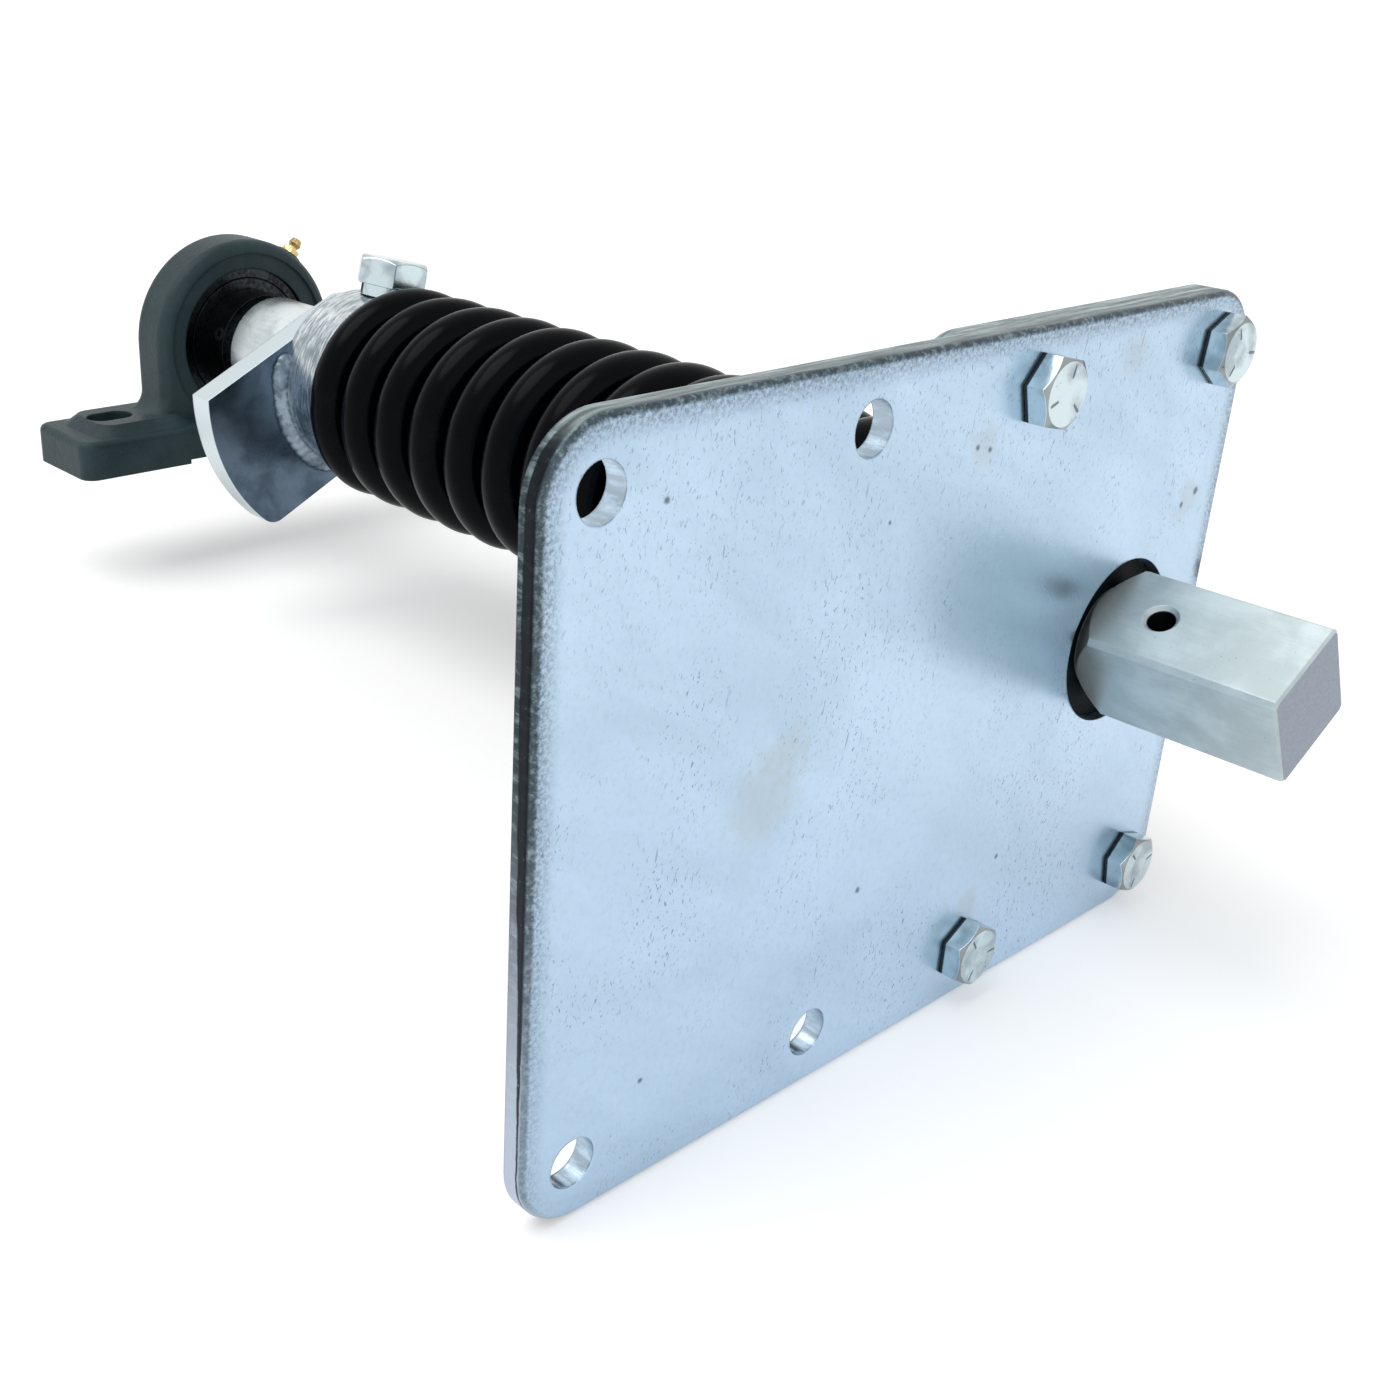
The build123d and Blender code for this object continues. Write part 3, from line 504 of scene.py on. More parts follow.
@dataclass(frozen=True)
class DrawnBar:
    """Cold drawn bar: pale and lightly brushed, with a few pits and a sawn grey end."""

    name: str = "drawn_bar"
    pale: tuple = (0.66, 0.75, 0.76)
    deep: tuple = (0.50, 0.58, 0.59)
    # painted shade where the bar goes into the plate
    plate_side_shade_colour: tuple = (0.155, 0.21, 0.235)
    pit: tuple = (0.035, 0.05, 0.055)
    sawn: tuple = (0.24, 0.28, 0.34)
    # painted shade on the wall of the arm bolt's hole
    hole: tuple = (0.006, 0.009, 0.012)
    roughness: float = 0.42
    square_turn: float = 30.0
    hole_along: float = -17.2 * MM
    hole_radius: float = 4.05 * MM

    def towards(self, angle: float) -> tuple[float, float, float]:
        """The direction out from the shaft at an angle from +X, in degrees."""
        return (math.cos(math.radians(angle)), 0.0, math.sin(math.radians(angle)))

    def arm_hole_shade(self, g: Graph) -> Socket:
        """1 on the wall of the arm bolt's hole: points near the hole's axis, which crosses the square end.

        The distance from the axis is the length of the cross product of the axis and the way there.

        Args:
            g: the material's graph.

        Returns:
            The mask.
        """
        offset = g.vector_math("SUBTRACT", g.object_coords, (0.0, self.hole_along, 0.0))
        across = g.vector_math("CROSS_PRODUCT", offset.outputs["Vector"],
                               self.towards(self.square_turn + 90.0))
        length = g.vector_math("LENGTH", across.outputs["Vector"])
        return g.step(length.outputs["Value"], self.hole_radius, 1.06 * self.hole_radius, 1.0, 0.0)

    def build(self) -> bpy.types.Material:
        """The finish of the shaft: lines along Y, painted shade in a ring near the plate and on the arm
        bolt's hole wall.

        Returns:
            The material.
        """
        g = Graph(self.name)
        lines = g.noise(1300.0, 3.0, 0.6, 0.0, g.stretched(1.0, 0.04, 1.0))
        cloud = g.noise(42.0, 5.0, 0.6, 0.3)
        blend = g.math("ADD", g.math("MULTIPLY", lines, 0.15), g.math("MULTIPLY", cloud, 0.85))
        colour = g.mix(g.step(blend, 0.36, 0.64), self.deep, self.pale)
        # painted shade in a ring where the bar goes into the plate
        plate_side_shade = g.math("MULTIPLY", g.step(g.part("Y"), -0.022, -0.004),
                        g.step(g.part("Y"), 0.0, 0.012, 1.0, 0.0))
        colour = g.mix(g.math("MULTIPLY", plate_side_shade, 0.3), colour, self.plate_side_shade_colour)
        grain = g.noise(1100.0, 3.0, 0.65, 0.0, g.stretched(0.5, 1.0, 1.0))
        sawn = g.mix(g.step(grain, 0.35, 0.7), self.sawn, tuple(1.15 * part for part in self.sawn))
        colour = g.mix(g.step(g.forward(), 0.6, 0.9), colour, sawn)
        pits = g.step(g.noise(1000.0, 2.0, 0.7), 0.7, 0.74, 0.0, 0.5)
        colour = g.mix(pits, colour, self.pit)
        # painted shade on the wall of the arm bolt's hole
        colour = g.mix(self.arm_hole_shade(g), colour, self.hole)
        rough = g.math("MULTIPLY_ADD", lines, 0.12, self.roughness - 0.06)
        fine = g.noise(1500.0, 2.0, 0.5)
        g.surface(base_color=colour, metallic=0.6, roughness=rough, normal=g.bump(fine, 0.00001, 0.4, 0.0005))
        return g.material


@dataclass(frozen=True)
class SpringCoat:
    """Black powder coat on the coil: deep gloss with a slight orange peel and a few dull scuffs."""

    name: str = "black_powder_coat"
    black: tuple = (0.0006, 0.0010, 0.0022)
    scuff: tuple = (0.002, 0.003, 0.005)
    roughness: float = 0.2
    lustre: float = 1.14

    def build(self) -> bpy.types.Material:
        """The finish of the coil.

        Returns:
            The material.
        """
        g = Graph(self.name)
        peel = g.noise(220.0, 2.0, 0.5)
        worn = g.step(g.noise(35.0, 4.0, 0.6, 0.4), 0.6, 0.75)
        colour = g.mix(worn, self.black, self.scuff)
        rough = g.math("MULTIPLY_ADD", worn, 0.14, self.roughness)
        g.surface(base_color=colour, metallic=0.0, roughness=rough, ior=self.lustre,
                  normal=g.bump(peel, 0.0002, 0.35))
        return g.material


@dataclass(frozen=True)
class CastEnamel:
    """Machine enamel over a rough casting: dark green grey with a satin, pebbled skin."""

    name: str = "cast_enamel"
    body: tuple = (0.020, 0.038, 0.043)
    thin: tuple = (0.034, 0.058, 0.063)
    dust: tuple = (0.060, 0.085, 0.090)
    roughness: float = 0.42
    lustre: float = 1.25

    def build(self) -> bpy.types.Material:
        """The finish of the bearing block.

        Returns:
            The material.
        """
        g = Graph(self.name)
        pebble = g.noise(420.0, 4.0, 0.6)
        cloud = g.noise(28.0, 4.0, 0.55, 0.3)
        colour = g.mix(g.step(cloud, 0.35, 0.65), self.body, self.thin)
        colour = g.mix(g.step(g.noise(900.0, 2.0, 0.6), 0.6, 0.8, 0.0, 0.5), colour, self.dust)
        rough = g.math("MULTIPLY_ADD", cloud, 0.18, self.roughness - 0.08)
        height = g.math("ADD", g.math("MULTIPLY", pebble, 0.6), g.math("MULTIPLY", cloud, 0.4))
        g.surface(base_color=colour, metallic=0.0, roughness=rough, ior=self.lustre,
                  normal=g.bump(height, 0.0006, 0.7, 0.0014))
        return g.material


@dataclass(frozen=True)
class WorkedSteel:
    """Bare or oiled steel with mill scale, turning or sawing marks along one axis."""

    name: str
    light: tuple
    dark: tuple
    roughness: float = 0.34
    along: tuple = (1.0, 0.15, 1.0)
    edge: float = 0.0006
    scale_marks: float = 0.5

    def build(self) -> bpy.types.Material:
        """A steel finish: cloudy scale over fine tool marks.

        Returns:
            The material.
        """
        g = Graph(self.name)
        marks = g.noise(600.0, 3.0, 0.6, 0.0, g.stretched(*self.along))
        cloud = g.noise(45.0, 5.0, 0.6, 0.5)
        blend = g.math("ADD", g.math("MULTIPLY", cloud, self.scale_marks),
                       g.math("MULTIPLY", marks, 1.0 - self.scale_marks))
        colour = g.mix(g.step(blend, 0.38, 0.62), self.dark, self.light)
        rough = g.math("MULTIPLY_ADD", cloud, 0.25, self.roughness - 0.1)
        g.surface(base_color=colour, metallic=1.0, roughness=rough,
                  normal=g.bump(blend, 0.0001, 0.7, self.edge))
        return g.material


@dataclass(frozen=True)
class LeverPlateSteel:
    """The lever plate: cloudy blue-grey rolled faces and brighter cut edges."""

    name: str = "lever_plate_steel"
    light: tuple = (0.16, 0.22, 0.29)
    dark: tuple = (0.075, 0.11, 0.155)
    edge: tuple = (0.62, 0.70, 0.73)
    roughness: float = 0.3

    def build(self) -> bpy.types.Material:
        """The finish of the lever plate.

        Returns:
            The material.
        """
        g = Graph(self.name)
        cloud = g.noise(40.0, 5.0, 0.6, 0.3)
        fine = g.noise(900.0, 3.0, 0.6)
        colour = g.mix(g.step(cloud, 0.35, 0.65), self.dark, self.light)
        on_edge = g.step(g.math("ABSOLUTE", g.normal_part("Y")), 0.2, 0.7, 1.0, 0.0)
        colour = g.mix(on_edge, colour, self.edge)
        rough = g.math("MULTIPLY_ADD", cloud, 0.2, self.roughness - 0.1)
        g.surface(base_color=colour, metallic=1.0, roughness=rough, normal=g.bump(fine, 0.00006, 0.6, 0.0007))
        return g.material


@dataclass(frozen=True)
class WeldMetal:
    """Bright weld: silvery, rippled, with straw and blue heat tints."""

    name: str = "weld_metal"
    bright: tuple = (0.42, 0.47, 0.49)
    tint: tuple = (0.20, 0.22, 0.22)
    blue: tuple = (0.20, 0.25, 0.31)
    roughness: float = 0.28

    def build(self) -> bpy.types.Material:
        """The finish of the weld beads.

        Returns:
            The material.
        """
        g = Graph(self.name)
        cloud = g.noise(120.0, 4.0, 0.6, 0.4)
        colour = g.mix(g.step(cloud, 0.42, 0.66), self.bright, self.tint)
        colour = g.mix(g.step(g.noise(70.0, 3.0, 0.5), 0.56, 0.7, 0.0, 0.6), colour, self.blue)
        rough = g.math("MULTIPLY_ADD", cloud, 0.25, self.roughness - 0.1)
        g.surface(base_color=colour, metallic=1.0, roughness=rough,
                  normal=g.bump(g.noise(700.0, 3.0, 0.6), 0.00015, 0.6))
        return g.material


@dataclass(frozen=True)
class MouldedBlack:
    """Black nylon or rubber: matt, with a fine moulded grain."""

    name: str
    colour: tuple = (0.004, 0.009, 0.011)
    lustre: float = 1.3
    roughness: float = 0.5
    grain: float = 900.0

    def build(self) -> bpy.types.Material:
        """A matt black finish.

        Returns:
            The material.
        """
        g = Graph(self.name)
        grain = g.noise(self.grain, 3.0, 0.6)
        pale = tuple(2.2 * part for part in self.colour)
        colour = g.mix(g.step(g.noise(60.0, 3.0, 0.5), 0.45, 0.75), self.colour, pale)
        rough = g.math("MULTIPLY_ADD", grain, 0.2, self.roughness - 0.1)
        g.surface(base_color=colour, metallic=0.0, roughness=rough, ior=self.lustre,
                  normal=g.bump(grain, 0.0001, 0.5, 0.0003))
        return g.material


@dataclass(frozen=True)
class DullBrass:
    """Brass that has dulled: warm, with brown clouds."""

    name: str = "dull_brass"
    bright: tuple = (0.70, 0.52, 0.25)
    brown: tuple = (0.30, 0.21, 0.10)

    def build(self) -> bpy.types.Material:
        """The finish of the grease nipple.

        Returns:
            The material.
        """
        g = Graph(self.name)
        cloud = g.noise(260.0, 4.0, 0.6)
        g.surface(base_color=g.mix(g.step(cloud, 0.42, 0.66), self.bright, self.brown), metallic=1.0,
                  roughness=g.math("MULTIPLY_ADD", cloud, 0.25, 0.2), normal=g.bump(cloud, 0.00008, 0.5))
        return g.material


Finish = (ZincSheet | ZincHardware | DrawnBar | SpringCoat | CastEnamel | WorkedSteel | LeverPlateSteel
          | WeldMetal | MouldedBlack | DullBrass)


def built(finish: Finish) -> bpy.types.Material:
    """A dataclass field that holds a finish's material, built with the object that has the field."""
    return field(default_factory=finish.build)


@dataclass
class Finishes:
    """Every finish that the assembly wears, built once."""

    zinc_sheet: bpy.types.Material = built(ZincSheet())
    zinc_backing: bpy.types.Material = built(ZincSheet(
        name="bright_zinc_backing", centre_x=-30.95 * MM, half_width=76.2 * MM, thickness=11.11 * MM,
        nicks=()))
    hardware: bpy.types.Material = built(ZincHardware())
    bar: bpy.types.Material = built(DrawnBar())
    coil: bpy.types.Material = built(SpringCoat())
    casting: bpy.types.Material = built(CastEnamel())
    weld: bpy.types.Material = built(WeldMetal())
    # a darker copy of the weld finish, for the lever bead
    dark_weld: bpy.types.Material = built(WeldMetal(
        "darker_weld", (0.26, 0.32, 0.38), (0.10, 0.135, 0.17), (0.15, 0.20, 0.27)))
    collar: bpy.types.Material = built(WorkedSteel(
        "turned_collar", (0.78, 0.84, 0.86), (0.24, 0.29, 0.32), 0.24, (0.25, 1.6, 0.25), 0.0006, 0.45))
    lever: bpy.types.Material = built(LeverPlateSteel())
    sleeve: bpy.types.Material = built(WorkedSteel(
        "drawn_tube", (0.80, 0.86, 0.87), (0.55, 0.62, 0.64), 0.24, (1.0, 0.15, 1.0), 0.0006, 0.8))
    bearing: bpy.types.Material = built(WorkedSteel(
        "ground_bearing_steel", (0.62, 0.64, 0.65), (0.45, 0.47, 0.49), 0.2, (1.0, 8.0, 1.0), 0.0003, 0.3))
    # near-black steel for the bearing's rings and flingers: painted shade in the block's recess
    shade_dark_steel: bpy.types.Material = built(WorkedSteel(
        "bearing_steel_dark_as_shade", (0.045, 0.05, 0.055), (0.012, 0.013, 0.016), 0.24, (1.0, 8.0, 1.0), 0.0003))
    oxide: bpy.types.Material = built(WorkedSteel(
        "black_oxide", (0.05, 0.052, 0.056), (0.02, 0.021, 0.024), 0.36, (1.0, 1.0, 1.0), 0.0002))
    nylon: bpy.types.Material = built(MouldedBlack("moulded_nylon", (0.002, 0.004, 0.005), 1.14))
    seal: bpy.types.Material = built(MouldedBlack("seal_rubber", roughness=0.6))
    brass: bpy.types.Material = built(DullBrass())


def shell(name: str, points: Array, close_columns: bool = True) -> bpy.types.Object:
    """Make a mesh from a grid of points, with the seams merged and the faces turned outwards.

    Args:
        name: the piece's name.
        points: grid of points, rows by columns by 3, in metres.
        close_columns: whether the last column joins the first.

    Returns:
        The new object at the origin.
    """
    return gather(name, [(points, close_columns)])


def gather(name: str, grids: list[tuple[Array, bool]]) -> bpy.types.Object:
    """Make one mesh from several grids of points.

    Args:
        name: the piece's name.
        grids: pairs of a grid and whether its last column joins its first.

    Returns:
        The new object at the origin.
    """
    corners, faces, offset = [], [], 0
    for points, close_columns in grids:
        rows, columns = points.shape[:2]
        index = offset + np.arange(rows * columns).reshape(rows, columns)
        right = np.roll(index, -1, axis=1) if close_columns else index[:, 1:]
        left = index if close_columns else index[:, :-1]
        faces.append(np.stack([left[:-1], right[:-1], right[1:], left[1:]], axis=-1).reshape(-1, 4))
        corners.append(points.reshape(-1, 3))
        offset += rows * columns
    mesh = bpy.data.meshes.new(name)
    mesh.from_pydata(np.concatenate(corners), [], np.concatenate(faces).tolist())
    work = bmesh.new()
    work.from_mesh(mesh)
    bmesh.ops.remove_doubles(work, verts=work.verts, dist=1e-6)
    bmesh.ops.recalc_face_normals(work, faces=work.faces)
    work.to_mesh(mesh)
    work.free()
    mesh.shade_smooth()
    piece = bpy.data.objects.new(name, mesh)
    bpy.context.scene.collection.objects.link(piece)
    return piece


def about_shaft(radius: Array, along: Array, angle: Array) -> Array:
    """Points from a radius, a place along the shaft and an angle from +X towards +Z.

    X is the radius times the angle's cosine, Z is the radius times its sine.

    Args:
        radius: distance from the shaft's axis.
        along: place along Y.
        angle: the angle, in radians.

    Returns:
        The points, with X, Y and Z on the last axis.
    """
    return np.stack(np.broadcast_arrays(radius * np.cos(angle), along, radius * np.sin(angle)), axis=-1)


def crease(piece: bpy.types.Object, degrees: float) -> None:
    """Keep edges sharper than an angle crisp under smooth shading."""
    piece.data.set_sharp_from_angle(angle=math.radians(degrees))


def soften(piece: bpy.types.Object, width: float, segments: int = 3, degrees: float = 25.0) -> None:
    """Round a piece's sharp edges.

    Args:
        piece: the piece.
        width: the rounding's width, in metres.
        segments: faces across the rounding.
        degrees: edges sharper than this are rounded.
    """
    bevel = piece.modifiers.new("edge_round", "BEVEL")
    bevel.width = width
    bevel.segments = segments
    bevel.limit_method = "ANGLE"
    bevel.angle_limit = math.radians(degrees)
    bevel.harden_normals = True


def dress(piece: bpy.types.Object, material: bpy.types.Material) -> None:
    """Give a piece or a CAD node one material in place of any it has, and report it."""
    piece.data.materials.clear()
    piece.data.materials.append(material)
    log.info("dressed %s in %s", piece.name, material.name)


def stand_for(piece: bpy.types.Object, body: Body, slot: str, *nodes: str) -> None:
    """Put a piece in place of CAD nodes and let it ride on their body.

    Args:
        piece: the new piece.
        body: the body that it rides on.
        slot: the record's material slot; not used.
        nodes: the CAD nodes it stands for.
    """
    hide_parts(*nodes)
    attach(piece, body.value)


def hexagon_rows(flats: float, height: float, columns: int = 72) -> Array:
    """A hexagon head up Z as rows of rings, its upper corners turned away at 30 degrees.

    The outline's radius is the half width over flats divided by the cosine of the angle from the
    nearest flat. A cone at 30 degrees from the top circle cuts each corner, so the side's top edge
    falls by the tangent of 30 degrees for each unit of radius past that circle.

    Args:
        flats: width across flats.
        height: height of the head.
        columns: points round the head, a multiple of six.

    Returns:
        The grid of points, rows by columns by 3.
    """
    angle = np.arange(columns) * 2 * np.pi / columns
    from_flat = np.mod(angle, np.pi / 3) - np.pi / 6
    outline = flats / 2 / np.cos(from_flat)
    top_radius = 0.94 * flats / 2
    shoulder = height - (outline - top_radius) * math.tan(math.radians(30))
    washer_face, foot, half_way = 0.9, 0.02, 0.5
    zero = np.zeros(columns)
    top = zero + height
    radii = np.stack([zero, washer_face * outline, outline, outline, zero + top_radius,
                      zero + half_way * top_radius, zero])
    levels = np.stack([zero, zero, zero + foot * height, shoulder, top, top, top])
    return np.stack([radii * np.cos(angle), radii * np.sin(angle), levels], axis=-1)


def ridge_rows(length: float, width: float, height: float, middle: float, angle: float, base: float) -> Array:
    """A raised line on a head: a half round bar that thins to nothing at its ends.

    Along the line the section's size follows the fourth root of one minus the fourth power of the
    distance from the middle, so its ends are blunt, and across it the section is half an ellipse.

    Args:
        length: length along the radius.
        width: width across.
        height: height above the head.
        middle: distance of the line's middle from the head's centre.
        angle: the line's angle, in radians.
        base: the head's top.

    Returns:
        The grid of points.
    """
    along, around = np.meshgrid(np.linspace(-1, 1, 13), np.linspace(0, 2 * np.pi, 16, endpoint=False),
                                indexing="ij")
    size = (1 - along ** 4) ** 0.25
    reach = middle + 0.5 * length * along
    across = 0.5 * width * size * np.cos(around)
    level = base + height * size * np.sin(around)
    return np.stack([reach * math.cos(angle) - across * math.sin(angle),
                     reach * math.sin(angle) + across * math.cos(angle), level], axis=-1)


def tube_rows(profile: list[tuple[float, float]], columns: int = 48) -> Array:
    """A turned shape up Z: the outline carried round in a circle.

    Args:
        profile: the outline's points, each a radius and a height.
        columns: points round the circle.

    Returns:
        The grid of points.
    """
    angle = np.arange(columns) * 2 * np.pi / columns
    outline = np.array(profile)
    radius, level = outline[:, :1], outline[:, 1:]
    return np.stack(np.broadcast_arrays(radius * np.cos(angle), radius * np.sin(angle), level), axis=-1)


def placed(points: Array, matrix: Matrix) -> Array:
    """Points moved by a matrix."""
    turn = np.array(matrix.to_3x3())
    return points @ turn.T + np.array(matrix.translation)


@dataclass
class PlateSet:
    """The mounting plate, the backing plate and the four bolts that join them."""

    finishes: Finishes
    right_edge: float = 45.25 * MM
    half_height: float = 101.6 * MM
    inset: float = 16.7 * MM
    column_spacing: float = 88.9 * MM
    head_flats: float = 18.1 * MM
    head_height: float = 7.0 * MM
    shank_radius: float = 6.0 * MM
    shank_end: float = 29.4 * MM
    line_length: float = 4.0 * MM
    line_width: float = 1.0 * MM
    line_height: float = 0.35 * MM
    line_margin: float = 1.0 * MM
    tip_chamfer: float = 1.2 * MM
    head_softness: float = 0.35 * MM
    head_turns: tuple = (-12.5, 24.0, 30.5, 42.0)

    def bolt_places(self) -> list[tuple[float, float]]:
        """X and Z of the four bolts, top row first."""
        right = self.right_edge - self.inset
        high = self.half_height - self.inset
        return [(x, z) for z in (high, -high) for x in (right - self.column_spacing, right)]

    def bolt_grids(self, x: float, z: float, turn: float) -> list[tuple[Array, bool]]:
        """One bolt's head, grade lines and shank, its head standing out towards -Y.

        Args:
            x: place along X.
            z: place along Z.
            turn: the head's turn, in degrees.

        Returns:
            Its grids of points.
        """
        out = Matrix.Rotation(math.radians(90), 4, "X") @ Matrix.Rotation(math.radians(turn), 4, "Z")
        place = Matrix.Translation((x, 0, z)) @ out
        head = hexagon_rows(self.head_flats, self.head_height)
        middle = self.head_flats / 2 - self.line_margin - self.line_length / 2
        lines = [ridge_rows(self.line_length, self.line_width, self.line_height, middle, math.radians(angle),
                            self.head_height) for angle in (90, 210, 330)]
        end, radius, chamfer = -self.shank_end, self.shank_radius, self.tip_chamfer
        shank = tube_rows([(0, end), (radius - chamfer, end), (radius, end + chamfer), (radius, 0), (0, 0)])
        return [(placed(grid, place), True) for grid in [head, *lines, shank]]

    def build_bolts(self) -> None:
        """Replace the plate bolts with softened heads."""
        grids = []
        for (x, z), turn in zip(self.bolt_places(), self.head_turns):
            grids += self.bolt_grids(x, z, turn)
        piece = gather("plate_bolt_set", grids)
        crease(piece, 30)
        soften(piece, self.head_softness)
        dress(piece, self.finishes.hardware)
        stand_for(piece, Body.MOUNT, "zinc_fasteners", "plate_bolts")

    def build(self) -> None:
        """Dress the plates, bushing and fasteners."""
        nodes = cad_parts
        self.build_bolts()
        dress(nodes["main_plate"], self.finishes.zinc_sheet)
        dress(nodes["backing_plate"], self.finishes.zinc_backing)
        for name in ("plate_washers", "plate_lock_washers", "plate_nuts"):
            dress(nodes[name], self.finishes.hardware)
        dress(nodes["shaft_bushing"], self.finishes.nylon)
        dress(nodes["hub_tube"], self.finishes.collar)
        dress(nodes["hub_weld"], self.finishes.weld)


@dataclass
class Coil:
    """The torsion spring with its two ground ends, and the front weld bead."""

    finishes: Finishes
    outer_radius: float = 46.2 * MM
    wire_radius: float = 9.525 * MM
    pitch: float = 22.8 * MM
    front: float = 11.11 * MM
    length: float = 349.4 * MM
    start_angle: float = -36.0
    per_turn: int = 88
    around: int = 40
    trim: float = 0.0008
    bead_gap: float = 0.05 * MM
    bead_size: float = 4.9 * MM
    bead_half_arc: float = 55.0

    def points(self) -> Array:
        """The wire's skin.

        The wire's centre goes round the shaft at the coil's mean radius and moves back by the pitch
        for each turn. Its section in a plane through the shaft is an ellipse: the wire's radius
        across, and that over the cosine of the lead angle along. A point past a ground end is put on
        the end's plane, no further from the wire's centre line than the half chord that the plane
        cuts from the ellipse.

        Returns:
            The grid of points.
        """
        mean = self.outer_radius - self.wire_radius
        lead = math.atan2(self.pitch, 2 * math.pi * mean)
        along_radius = self.wire_radius / math.cos(lead)
        turns = (self.length + 2 * along_radius) / self.pitch
        stations = int(turns * self.per_turn)
        travel = np.linspace(self.trim, 1 - self.trim, stations)[:, None] * turns
        centre = self.front - along_radius + travel * self.pitch
        angle = math.radians(self.start_angle) + 2 * np.pi * travel
        section = np.arange(self.around)[None, :] * 2 * np.pi / self.around
        across = self.wire_radius * np.cos(section) + 0 * centre
        along = centre + along_radius * np.sin(section)
        for plane, past in ((self.front, along < self.front),
                            (self.front + self.length, along > self.front + self.length)):
            share = np.clip(1 - ((plane - centre) / along_radius) ** 2, 0, 1)
            half_chord = self.wire_radius * np.sqrt(share) + 0 * along
            across = np.where(past, np.clip(across, -half_chord, half_chord), across)
            along = np.where(past, plane, along)
        return about_shaft(mean + across, along, angle)

    def build(self) -> None:
        """Replace the spring with its fine skin and lay its bead."""
        piece = shell("coil_spring", self.points())
        crease(piece, 35)
        dress(piece, self.finishes.coil)
        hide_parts("torsion_spring")
        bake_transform(piece)
        fullest = self.start_angle + 360 * self.wire_radius / self.pitch
        bead = Bead("coil_front_bead", self.outer_radius + self.bead_gap, self.front, self.bead_size,
                    self.bead_size, fullest - self.bead_half_arc, fullest + self.bead_half_arc,
                    ripples=56, seed=2.1)
        bead.build(self.finishes.weld, Body.MOUNT, "front_spring_weld")


@dataclass
class Bead:
    """A weld bead round the shaft, with a rippled face."""

    name: str
    radius: float
    root: float
    reach: float
    length: float
    start: float = 0.0
    stop: float = 360.0
    ripples: int = 90
    seed: float = 0.0
    fullness: float = 1.35
    sunk: float = 0.3 * MM

    def points(self) -> Array:
        """The bead's skin.

        The section is the corner between a tube and a face, closed by a quarter of a superellipse: the
        cosine and sine of the way round it, each to the power of the fullness. Its size along the arc
        is 0.93 plus a rounded ripple and two slow waves. Towards the ends of an open arc it falls as
        the root of one minus the eighth power of the distance from the middle, so the ends are blunt.

        Returns:
            The grid of points.
        """
        full = self.stop - self.start >= 360.0
        count = int((self.stop - self.start) * 2.5)
        angle = np.radians(np.linspace(self.start, self.stop, count, endpoint=not full))[:, None]
        ripple = 0.07 * np.abs(np.sin(self.ripples * angle / 2)) - 0.04
        slow = 0.07 * np.sin(5 * angle + self.seed) + 0.05 * np.sin(11 * angle + 2 * self.seed)
        size = 0.93 + ripple + slow
        if not full:
            share = np.linspace(-1, 1, count)[:, None]
            size = size * np.sqrt(1 - share ** 8)
        bow = np.linspace(0, np.pi / 2, 14)[None, :]
        out = size * self.reach * np.cos(bow) ** self.fullness
        along = size * self.length * np.sin(bow) ** self.fullness
        face_radius, face_along = self.radius + out, self.root + along
        back_radius = np.full((count, 1), self.radius - self.sunk)
        back_along = np.full((count, 1), self.root)
        radius = np.concatenate([back_radius, face_radius, back_radius], axis=1)
        level = np.concatenate([back_along, face_along, back_along + size * self.length], axis=1)
        grid = about_shaft(radius, level, angle)
        return np.swapaxes(grid, 0, 1) if full else grid

    def build(self, material: bpy.types.Material, body: Body, *nodes: str) -> None:
        """Make the bead in place of CAD nodes.

        Args:
            material: its finish.
            body: the body it rides on.
            nodes: the CAD nodes it stands for.
        """
        piece = shell(self.name, self.points())
        dress(piece, material)
        stand_for(piece, body, "weld_metal", *nodes)


